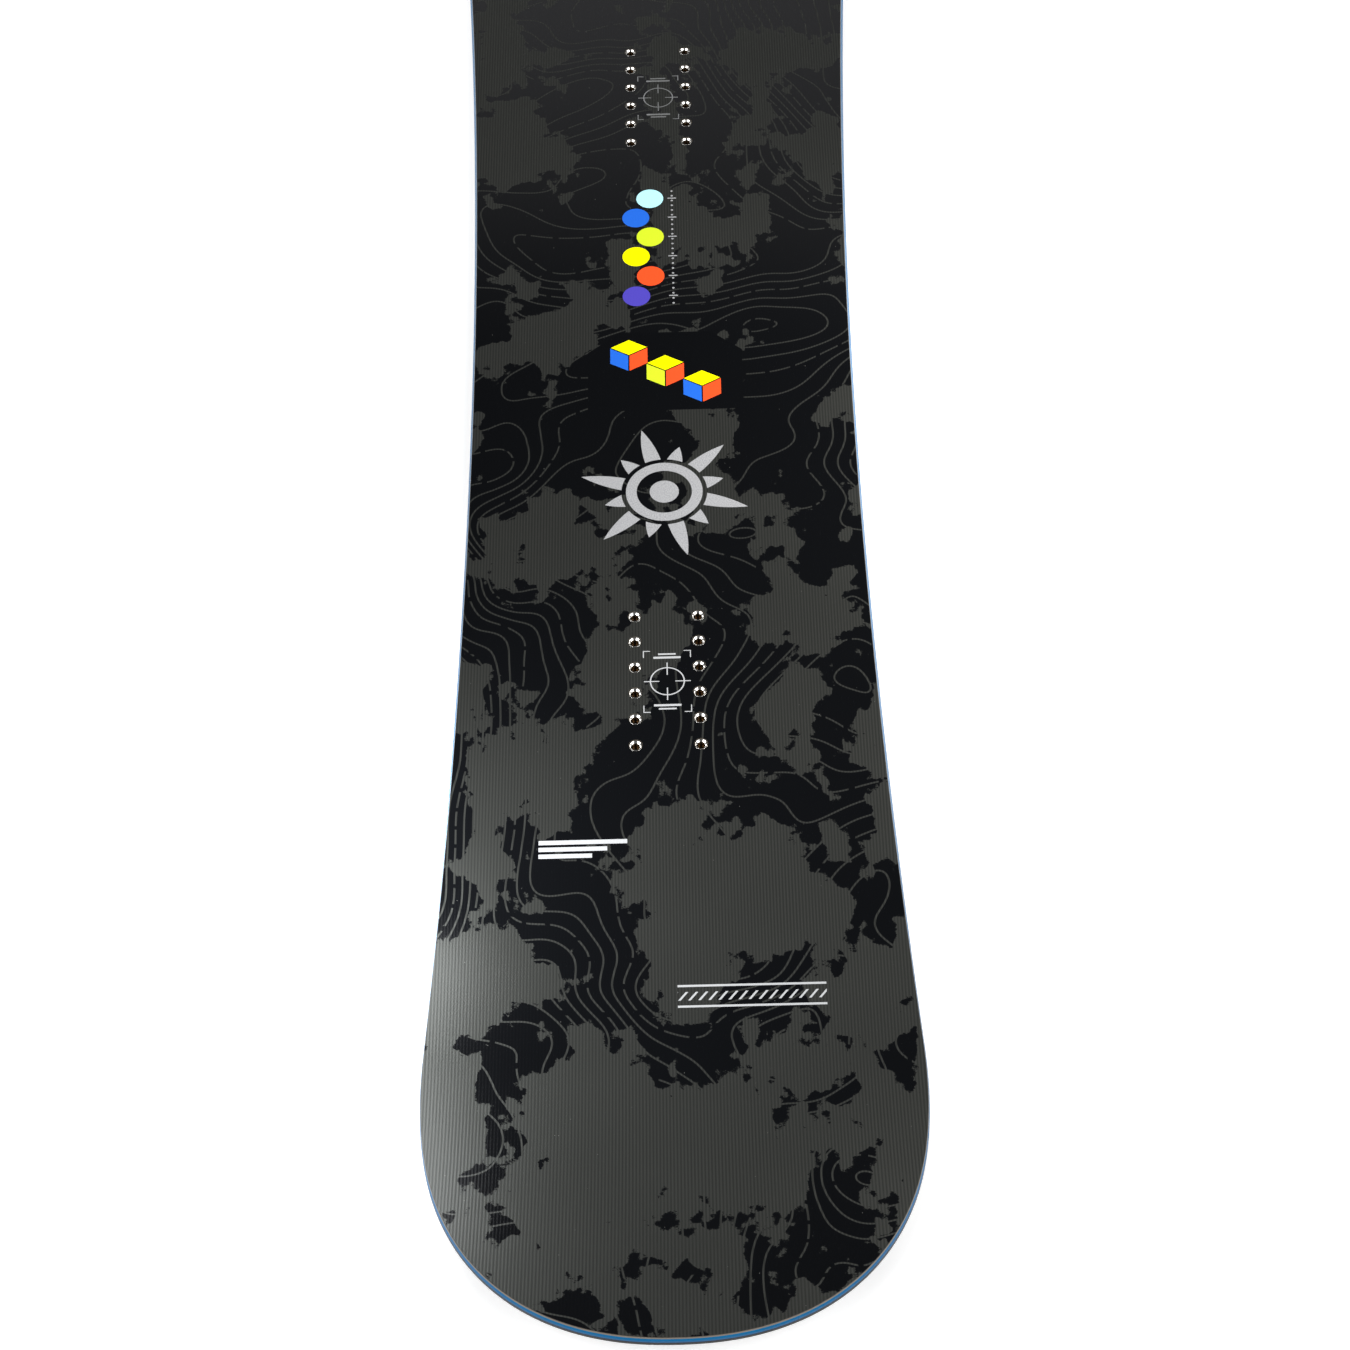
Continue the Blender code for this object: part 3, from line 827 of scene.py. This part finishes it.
def hatch_strip(x, y):
    """Slanted strokes between two rules."""
    strokes = ((x - y * 0.8) / 0.0058).fract().below(0.26) * box(x, y, 0.0430, 0.0028)
    return strokes.most(box(x, abs(y) - 0.0068, 0.0430, 0.0007))


def patch(x, y):
    """A plain ground for the blocks, with two of its corners cut."""
    return box(x, y, 0.052, 0.036) * box(x, y * 1.2 + abs(x), 1.0, 0.074)


def artwork(ink, x, y):
    """Prints the motifs over the ground. Gives the ink and the share that keeps the ground's sheen."""
    grain = noise(vector_of(x, y, 0.0), 1600.0, 1.0)
    silver = mixed(grain.ramp(0.3, 0.7), SILVER_DARK, SILVER_PALE)

    patch_x, patch_y = about(x, y, PATCH_PLACE)
    ground = patch(patch_x, patch_y)
    ink = mixed(ground, ink, STAIN_BLACK)
    for *place, left_ink in BLOCK_PLACES:
        cover, face = block_faces(*about(patch_x, patch_y, place), left_ink)
        ink = mixed(cover, ink, face)

    disc, disc_ink, rule = colour_discs(*about(x, y, DISCS_PLACE))
    ink = mixed(disc, ink, disc_ink)
    burst = sunburst(*about(x, y, BURST_PLACE))
    ink = mixed(burst.most(rule), ink, silver)

    marks = plain_bars(*about(x, y, BARS_PLACE)).most(hatch_strip(*about(x, y, HATCH_PLACE)))
    marks = marks.most(pack_marks(x, y - REAR_PACK))
    marks = marks.most(pack_marks(x, y - FRONT_PACK) * FRONT_MARKS_STRENGTH)
    ink = mixed(marks, ink, MARK_GREY)
    cover = disc.most(burst).most(rule).most(marks)
    return ink, ground.rest() * cover.rest()


def clouding(flat, stretch, offset, *settings):
    """Noise over the film, stretched, from a place in its field that suits the board."""
    return noise(shifted(stretched(flat, stretch), offset), *settings)


def stains(flat, y):
    """Black cover: large clouds with ragged, dry-brushed edges, fewer of them towards the tail."""
    clouds = clouding(flat, (1.05, 0.80, 1.0), (5.3, 2.9, 0.0), 14.0, 4.0, 0.60)
    lumps = clouding(flat, (1.0, 0.8, 1.0), (2.2, 8.1, 0.0), 62.0, 1.0)
    ragged = clouding(flat, (1.0, 1.0, 1.0), (0.4, 5.2, 0.0), 210.0, 3.0, 0.75)
    dry = clouding(flat, (1.0, 1.8, 1.0), (9.0, 1.0, 0.0), 900.0, 2.0, 0.6)
    bias = y.ramp(-0.50, -0.30, 0.028, -0.026) + y.ramp(0.0, 0.3, 0.0, 0.010)
    cover = clouds + lumps * 0.16 + ragged * 0.07 + dry * 0.03 + bias
    return cover.ramp(0.626, 0.634, 1.0, 0.0)


def contours(flat, x, y):
    """Contour lines of one width wherever they run, some of them dashed."""
    step = 0.0008
    levels = 36.0
    lean_x, lean_y = 30.0, 14.0  # the slope that keeps the lines coming where the ground is flat
    near, beside, beyond = [
        noise(shifted(flat, (2.0 + right, 4.0 + up, 0.0)), 4.6, 2.0, 0.42, 0.25)
        for right, up in ((0.0, 0.0), (step, 0.0), (0.0, step))
    ]
    slope_x = (beside - near) * (levels / step) + lean_x
    slope_y = (beyond - near) * (levels / step) + lean_y
    slope = (slope_x * slope_x + slope_y * slope_y + 1.0).math("SQRT")
    phase = near * levels + x * lean_x + y * lean_y
    line = (abs(phase.fract() - 0.5) / slope).ramp(0.00040, 0.00070, 1.0, 0.0)
    steep = abs(slope_x).above(abs(slope_y))
    along = y * steep + x * steep.rest()
    warp = noise(flat, 9.0, 1.0)
    gaps = (along * 62.0 + warp * 3.0).fract().below(0.2)
    dashed = (phase.math("FLOOR") / 3.0).fract().below(0.2)
    return line * (gaps * dashed).rest()


def film_material():
    """The printed film: an olive ground under black stains, with contour lines inside the stains.
    The olive ink has a metallic sheen under the clear film, the black has none."""
    material, shader, point = new_material("topsheet_print")
    x, y, _ = split(point)
    flat = vector_of(x, y, 0.0)
    sheen = (stains(flat, y) * contours(flat, x, y).rest()).rest()
    # painted reflection: the black is drawn paler towards the nose, standing in for the film's reflection
    # of the room at the far end
    black = mixed(y.ramp(-0.05, 0.50), STAIN_BLACK, NOSEWARD_PAINTED_REFLECTION)
    shade = noise(shifted(flat, (1.0, 2.0, 0.0)), 3.0, 2.0)
    olive = mixed(shade, OLIVE_LOW, OLIVE_HIGH)
    # painted shade: the olive is drawn darker between the weave's ribs, standing in for light and shade
    # on the rib relief
    ribs = (x * (TURN / RIB_PITCH)).sine() * noise(point, 60.0, 2.0)
    olive = mixed(ribs.ramp(-0.5, 0.5), mixed(RIB_GROOVE_PAINTED_SHADE, olive, STAIN_BLACK), olive)
    ink = mixed(sheen, black, olive)
    specks = cells(flat, 260.0).ramp(0.045, 0.075, 1.0, 0.0)
    rare = noise(shifted(flat, (6.0, 0.0, 0.0)), 130.0, 0.0).above(0.70)
    ink = mixed(specks * rare * 0.5, ink, srgb(150, 150, 145))
    ink, kept = artwork(ink, x, y)
    normal = bumped(film_relief(point, x, y), RELIEF)
    feed(shader.inputs["Metallic"], sheen * kept * OLIVE_METALLIC)
    finish_film(shader, ink, point, normal)
    return material


def grainy_material(name, grain_settings, low, high, rough, relief):
    """A material whose colour, roughness and relief follow one fine grain."""
    material, shader, point = new_material(name)
    grain = noise(point, *grain_settings)
    colour = mixed(grain, low, high)
    finish_shader(shader, colour, grain.ramp(*rough), bumped(grain, relief))
    return material


def back_material():
    """The film's cut edge and its unprinted back."""
    return grainy_material("topsheet_back", (900.0, 2.0), srgb(40, 33, 28), srgb(58, 48, 40),
                           (0.2, 0.8, 0.42, 0.6), 0.00002)


def rubber_material():
    """The thin black rubber and resin layer above the base."""
    return grainy_material("damping_layer", (1300.0, 3.0, 0.6), srgb(14, 14, 15), srgb(34, 34, 36),
                           (0.3, 0.7, 0.55, 0.8), 0.00003)


def glass_material(name, low, high):
    """Cured glass laminate with its cut fibres."""
    material, shader, point = new_material(name)
    fibres = noise(stretched(point, (1.0, 1.0, 6.0)), 700.0, 3.0, 0.6)
    cloud = noise(point, 40.0, 2.0)
    colour = mixed(fibres * 0.7 + cloud * 0.3, low, high)
    finish_shader(shader, colour, fibres.ramp(0.25, 0.75, 0.35, 0.55), bumped(fibres, 0.00003))
    return material


def abs_material():
    """Blue ABS with the fine lines that the sidewall cutter leaves along it."""
    material, shader, point = new_material("blue_plastic")
    lines = noise(stretched(point, (1.0, 0.02, 1.0)), 5200.0, 2.0, 0.6)
    cloud = noise(point, 25.0, 3.0)
    colour = mixed(cloud * 0.6 + lines * 0.4, srgb(0, 80, 124), srgb(4, 98, 148))
    rough = cloud * 0.12 + lines.ramp(0.3, 0.7, 0.22, 0.36)
    finish_shader(shader, colour, rough, bumped(lines, 0.000012), Specular_IOR_Level=0.12)
    return material


def edge_material():
    """Ground steel: streaks along the board, tiny nicks, a few darker spots."""
    material, shader, point = new_material("ground_steel")
    streaks = noise(stretched(point, (1.0, 0.03, 1.0)), 4000.0, 3.0, 0.6)
    spots = noise(point, 160.0, 3.0)
    nicks = noise(point, 900.0, 1.0).above(0.74)
    colour = mixed(streaks, srgb(150, 152, 156), srgb(205, 206, 208))
    colour = mixed(spots.ramp(0.62, 0.74) * 0.5, colour, srgb(112, 104, 96))
    rough = streaks.ramp(0.3, 0.7, 0.20, 0.36) + nicks * 0.15
    finish_shader(shader, colour, rough, bumped(streaks, 0.00001), Metallic=1.0)
    return material


def insert_material():
    """Turned stainless steel: fine rings about the insert's axis, and drawn brown deeper down its bore.
    """
    material, shader, point = new_material("turned_steel")
    x, y, z = split(point)
    radius = radius_of(x, y)
    rings = noise(vector_of(radius, z * 0.4, 0.0), 9000.0, 2.0)
    cloud = noise(point, 700.0, 2.0)
    steel = mixed(cloud, srgb(214, 210, 204), srgb(244, 242, 238))
    bore = radius.ramp(INSERT_BORE_RADIUS + 0.00010, INSERT_BORE_RADIUS + 0.00025, 1.0, 0.0)
    # the bore is drawn brown from 1.6 mm below the lip, fully so from 3.6 mm down
    deep = z.ramp(INSERT_HEIGHT - 0.0036, INSERT_HEIGHT - 0.0016, 1.0, 0.0)
    deep_bore_brown = mixed(cloud, srgb(66, 54, 40), srgb(114, 94, 70))
    colour = mixed(bore * deep, steel, deep_bore_brown)
    finish_shader(shader, colour, rings.ramp(0.3, 0.7, 0.14, 0.24), bumped(rings, 0.000003),
                  Metallic=1.0)
    return material


def wood_material():
    """Poplar core strips, each with its own tone and with its grain along the board."""
    material, shader, point = new_material("core_poplar")
    x, y, z = split(point)
    strip = (x * (1.0 / (INSERT_COLUMN_SPACING / 2)) + 0.5).math("FLOOR")
    moved = vector_of(x + strip * 0.37, y * 0.045, z + strip * 0.11)
    growth = noise(moved, 42.0, 3.0, 0.55, 1.2)
    rings = (growth * 9.0).fract()
    pores = noise(stretched(moved, (1.0, 0.4, 1.0)), 1500.0, 2.0, 0.7)
    tone = noise(vector_of(strip * 3.7, 0.0, 0.0), 1.0, 0.0)
    pale = mixed(tone, srgb(206, 176, 128), srgb(226, 202, 160))
    dark = mixed(tone, srgb(164, 122, 76), srgb(188, 150, 102))
    colour = mixed(rings.ramp(0.55, 1.0) * 0.6 + pores.ramp(0.6, 0.75) * 0.4, pale, dark)
    relief = rings * 0.3 + pores
    finish_shader(shader, colour, pores.ramp(0.3, 0.7, 0.5, 0.72), bumped(relief, 0.00004))
    return material


def base_material():
    """Black sintered base, stone ground: fine lines along the board with a shallow crossed structure."""
    material, shader, point = new_material("sintered_base_black")
    x, y, _ = split(point)
    grind = noise(stretched(point, (1.0, 0.012, 1.0)), 2600.0, 3.0, 0.6)
    cross = ((x + y * 0.10) * (TURN / 0.0012)).sine() * ((x - y * 0.10) * (TURN / 0.0012)).sine()
    cloud = noise(point, 18.0, 3.0)
    colour = mixed(grind * 0.6 + cloud * 0.4, srgb(13, 13, 14), srgb(34, 34, 36))
    rough = grind.ramp(0.3, 0.7, 0.26, 0.38) + cloud * 0.08
    finish_shader(shader, colour, rough, bumped(grind + cross * 0.2, 0.00002))
    return material


def floor_material():
    """A pale floor that glows a little, so that it stays white behind the board."""
    material, shader, point = new_material("studio_floor")
    cloud = noise(point, 1.5, 2.0)
    colour = mixed(cloud, (0.93, 0.93, 0.93), (0.95, 0.95, 0.95))
    finish_shader(shader, colour, cloud.ramp(0.2, 0.8, 0.75, 0.85),
                  Emission_Color=(1.0, 1.0, 1.0, 1.0), Emission_Strength=0.35)
    return material


# --- The board ----------------------------------------------------------------

BAKE_WIDTH = 0.307  # a little more than the board's greatest width
BAKE_SCALE = 1.28
BAKE_BACK_SCALE = (0.58, 0.64)
BAKE_BACK_LEFT = 0.812
BAKE_MARGIN = 0.004
BORE_UNFOLD = 0.35
RIM_UNFOLD = 0.0015


def edge_corners(s):
    """The steel edge: a square body, its outer lower corner broken, and the tang above the base."""
    return [
        (0.0, EDGE_BREAK),
        (EDGE_BREAK, 0.0),
        (EDGE_WIDTH, 0.0),
        (EDGE_WIDTH, TANG_FLOOR),
        (EDGE_WIDTH + TANG_WIDTH, TANG_FLOOR),
        (EDGE_WIDTH + TANG_WIDTH, EDGE_TOP),
        (0.0, EDGE_TOP),
    ]


def sidewall_corners(s):
    top = core_top(s)
    return [
        (bevel_inset(CORE_FLOOR), CORE_FLOOR),
        (SIDEWALL_WIDTH, CORE_FLOOR),
        (SIDEWALL_WIDTH, top),
        (bevel_inset(top), top),
    ]


def unfolded(x, s):
    """Where a floor vertex of the film's cut edge goes when the edge is laid flat beside the print."""
    for _, centre_x, centre_s in insert_places():
        if math.hypot(x - centre_x, s - centre_s) < INSERT_BARREL_RADIUS + 2 * CLEARANCE:
            return x + (centre_x - x) * BORE_UNFOLD, s + (centre_s - s) * BORE_UNFOLD
    outline_s, _, normal_s, normal_x = OUTLINE
    out_s, out_x = np.interp(s, outline_s, normal_s), np.interp(s, outline_s, normal_x)
    return x + math.copysign(out_x, x) * RIM_UNFOLD, s + out_s * RIM_UNFOLD


def bake_map(mesh):
    """The film's own map: its print in two halves side by side with the cut edge round them, and its
    back beside them at a smaller scale."""
    reach = BAKE_WIDTH / 2
    column = 2 * (reach * BAKE_SCALE + BAKE_MARGIN)
    flat = [tuple(value.vector) for value in mesh.attributes["flat"].data]
    uv = mesh.uv_layers.new(name="OFBake").data
    for polygon in mesh.polygons:
        spots = [flat[index] for index in polygon.vertices]
        numbers = {round(number) for _, _, number in spots}
        noseward = sum(s for _, s, _ in spots) > 0.0
        for loop, (x, s, number) in zip(polygon.loop_indices, spots):
            if numbers == {0}:
                across = BAKE_BACK_LEFT + (x + reach) * BAKE_BACK_SCALE[0]
                along = (s - TAIL_TIP) * BAKE_BACK_SCALE[1]
            else:
                x, s = (x, s) if round(number) else unfolded(x, s)
                across = BAKE_MARGIN + (x + reach) * BAKE_SCALE + noseward * column
                along = (s - noseward * NOSE_TIP - TAIL_TIP) * BAKE_SCALE
            uv[loop].uv = (across, along + BAKE_MARGIN)


def topsheet(material, back):
    """The printed film, drilled for the inserts."""
    work, upper = layer(over_core(TOPSHEET_FLOOR + SKIN), over_core(TOPSHEET_TOP), drilled=True)
    for face in work.faces:
        face.material_index = 1
    for face in upper:
        face.material_index = 0
    mesh = new_mesh("topsheet_film", work, material, back)
    bake_map(mesh)
    add_piece("topsheet_film", "topsheet", "printed_topsheet", mesh, RIM_RADIUS)


def insert_profile():
    """The insert's section up its bore, over its lip and down its outside: (kind, radius, height)."""
    climb = THREAD_TOP - INSERT_FLOOR
    rows = [("tip", 0.0, INSERT_FLOOR), ("plain", INSERT_BORE_RADIUS * 0.6, INSERT_FLOOR)]
    for i in range(THREAD_ROWS + 1):
        rows.append(("thread", INSERT_BORE_RADIUS, INSERT_FLOOR + climb * i / THREAD_ROWS))
    mouth, barrel, flange = INSERT_MOUTH_RADIUS, INSERT_BARREL_RADIUS, INSERT_FLANGE_RADIUS
    lip, step = INSERT_HEIGHT, INSERT_FLANGE_THICKNESS
    rows += [("plain", radius, height) for radius, height in (
        (mouth - 0.00010, lip - 0.00010),
        (mouth, lip - 0.00002),
        (mouth + 0.00005, lip),
        (barrel - INSERT_ROUNDING, lip),
        (barrel - INSERT_ROUNDING * 0.3, lip - INSERT_ROUNDING * 0.3),
        (barrel, lip - INSERT_ROUNDING),
        (barrel, step + 0.0002),
        (barrel + 0.0002, step),
        (flange - INSERT_ROUNDING, step),
        (flange, step - INSERT_ROUNDING),
        (flange, INSERT_ROUNDING),
        (flange - INSERT_ROUNDING, 0.0),
    )]
    return rows + [("tip", 0.0, 0.0)]


def thread_depth(height, share):
    """How deep the thread is cut at a height and a share of a turn. It fades out at both ends."""
    ends = min(height - INSERT_FLOOR, THREAD_TOP - height) / THREAD_PITCH
    wave = abs(2 * ((height / THREAD_PITCH - share) % 1.0) - 1)
    return THREAD_DEPTH * wave * min(1.0, ends * 2)


def turned_loop(work, kind, radius, height):
    """The vertices of one row of the insert's section, turned about Z."""
    if kind == "tip":
        return [work.verts.new((0.0, 0.0, height))]
    loop = []
    for i in range(INSERT_SEGMENTS):
        turn = TURN * i / INSERT_SEGMENTS
        reach = radius
        if kind == "thread":
            reach += thread_depth(height, i / INSERT_SEGMENTS)
        loop.append(work.verts.new((reach * math.cos(turn), reach * math.sin(turn), height)))
    return loop


def insert_mesh(material):
    """One insert about its own Z: flange, barrel, rounded lip, countersink and blind threaded bore."""
    work = bmesh.new()
    loops = [turned_loop(work, *row) for row in insert_profile()]
    skin_loops(work, loops, INSERT_SEGMENTS)
    mesh = new_mesh("insert_turned", work, material)
    mesh.set_sharp_from_angle(angle=INSERT_SHARP_EDGE)
    return mesh


def add_inserts(material):
    mesh = insert_mesh(material)
    for node, x, s in insert_places():
        ob = put(node.replace("insert", "threaded_insert"), mesh)
        ob.location = press(x, s, CORE_FLOOR)
        ob.rotation_euler = (tilt(s), 0.0, 0.0)
        dress(ob, "insert_steel", node)


def build_board():
    topsheet(film_material(), back_material())
    pale_glass = glass_material("upper_laminate", srgb(90, 84, 74), srgb(120, 112, 99))
    plain_layer("upper_glass_layer", "upper_glass", "glass_laminate", over_core(SKIN),
                over_core(TOPSHEET_FLOOR - SKIN), pale_glass, THIN_RIM_RADIUS, drilled=True)
    blue_glass = glass_material("lower_laminate", srgb(0, 62, 104), srgb(10, 92, 138))
    plain_layer("lower_glass_layer", "lower_glass", "glass_laminate", level(EDGE_TOP + SKIN),
                level(CORE_FLOOR - SKIN), blue_glass, THIN_RIM_RADIUS)
    blue = abs_material()
    plain_layer("tail_spacer", "tail_filler", "blue_abs", level(CORE_FLOOR), core_top, blue,
                end=CORE_TAIL_END - CLEARANCE)
    plain_layer("nose_spacer", "nose_filler", "blue_abs", level(CORE_FLOOR), core_top, blue,
                start=CORE_NOSE_END + CLEARANCE)
    steel = edge_material()
    for place, side in (("left", -1), ("right", 1)):
        rail(f"edge_{place}", f"steel_edge_{place}", "edge_steel", side, EDGE_TAIL_END,
             EDGE_NOSE_END, edge_corners, steel, STEEL_RIM_RADIUS)
        rail(f"wall_{place}", f"sidewall_{place}", "blue_abs", side, CORE_TAIL_END,
             CORE_NOSE_END, sidewall_corners, blue)
    plain_layer("damping_layer", "damping_sheet", "damping_rubber", level(BASE_THICKNESS + SKIN),
                level(EDGE_TOP - SKIN), rubber_material(), notch=EDGE_WIDTH + TANG_WIDTH + CLEARANCE)
    plain_layer("running_base", "base_sheet", "sintered_base", level(0.0), level(BASE_THICKNESS),
                base_material(), notch=EDGE_WIDTH + SKIN)
    add_inserts(insert_material())
    wood = wood_material()
    for name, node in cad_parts.items():
        if name.startswith("core_strip"):
            node.material_slots[0].material = wood


# --- Studio -------------------------------------------------------------------

CAMERA_PLACE = (0.0227, -1.4628, 1.4976)  # fitted to the inserts and the outline in the photo
CAMERA_RIGHT = (0.99964, -0.01405, -0.02305)
CAMERA_UP = (0.02528, 0.78712, 0.61628)
CAMERA_BACK = (0.00949, -0.61663, 0.78719)
CAMERA_LENS = 80.90
SENSOR_WIDTH = 36.0
CAMERA_RANGE = (0.05, 50.0)
WORLD_COLOUR = (0.92, 0.96, 1.0, 1.0)
WORLD_STRENGTH = 0.12
SUN_STRENGTH = 2.25
SUN_ANGLE = 0.8
FLOOR_REACH = 9.0  # from here out it curves up
FLOOR_CURVE = 3.0
FLOOR_GAP = 0.0003
FLOOR_SEGMENTS = 64


def posed(place, right, up, back):
    """The matrix of a camera or a lamp that stands at a place."""
    turn = Matrix((right, up, back)).transposed().to_4x4()
    return Matrix.Translation(place) @ turn


def add_camera():
    data = bpy.data.cameras.new("camera")
    data.lens = CAMERA_LENS
    data.sensor_width = SENSOR_WIDTH
    data.clip_start, data.clip_end = CAMERA_RANGE
    camera = put("camera", data)
    camera.matrix_world = posed(CAMERA_PLACE, CAMERA_RIGHT, CAMERA_UP, CAMERA_BACK)
    bpy.context.scene.camera = camera


def new_light(name, kind, power):
    data = bpy.data.lights.new(name, kind)
    data.energy = power
    return put(name, data), data


def add_area(name, place, target, size, power, colour, along):
    """A soft rectangular light at a place, turned to a target, its second side along a direction.
    The camera doesn't see it."""
    light, data = new_light(name, "AREA", power)
    data.shape = "RECTANGLE"
    data.size, data.size_y = size
    data.color = colour
    back = (Vector(place) - Vector(target)).normalized()
    side = Vector(along).cross(back).normalized()
    light.matrix_world = posed(place, side, back.cross(side), back)
    light.visible_camera = False


def add_sun(name, towards_sun):
    light, data = new_light(name, "SUN", SUN_STRENGTH)
    data.angle = SUN_ANGLE
    light.rotation_euler = Vector(towards_sun).to_track_quat("Z", "Y").to_euler()


def add_floor():
    """A pale floor that curves up all round, far from the board."""
    profile = [(FLOOR_REACH / 3, 0.0), (FLOOR_REACH, 0.0)]
    for t in np.linspace(0, 1.2, 12)[1:]:
        profile.append((FLOOR_REACH + FLOOR_CURVE * math.sin(t), FLOOR_CURVE * (1 - math.cos(t))))
    turns = [TURN * i / FLOOR_SEGMENTS for i in range(FLOOR_SEGMENTS)]
    work = bmesh.new()
    loops = [[work.verts.new((0.0, 0.0, -FLOOR_GAP))]]
    for reach, height in profile:
        points = [(reach * math.cos(t), reach * math.sin(t), height - FLOOR_GAP) for t in turns]
        loops.append([work.verts.new(point) for point in points])
    skin_loops(work, loops, FLOOR_SEGMENTS)
    floor = put("studio_floor", new_mesh("studio_floor", work, floor_material()))


def add_studio():
    world = bpy.data.worlds.new("studio")
    bpy.context.scene.world = world
    world.use_nodes = True
    back = world.node_tree.nodes["Background"]
    back.inputs["Color"].default_value = WORLD_COLOUR
    back.inputs["Strength"].default_value = WORLD_STRENGTH
    add_sun("overhead_left", (-0.85, -0.35, 0.9))
    add_sun("overhead_right", (0.85, -0.35, 0.9))
    add_area("left_soft", (-0.223, -0.436, 0.121), (-0.12, -0.50, 0.0), (0.186, 0.131), 1.05,
             (0.93, 0.96, 1.0), (0.5, 0.86, 0.0))
    add_area("right_soft", (0.30, -0.12, 0.20), (0.12, -0.25, 0.0), (0.06, 0.48), 1.0,
             (1.0, 0.97, 0.93), (0.0, 1.0, 0.0))
    add_floor()


build_board()
add_camera()
add_studio()
bpy.context.scene.view_settings.view_transform = "Standard"
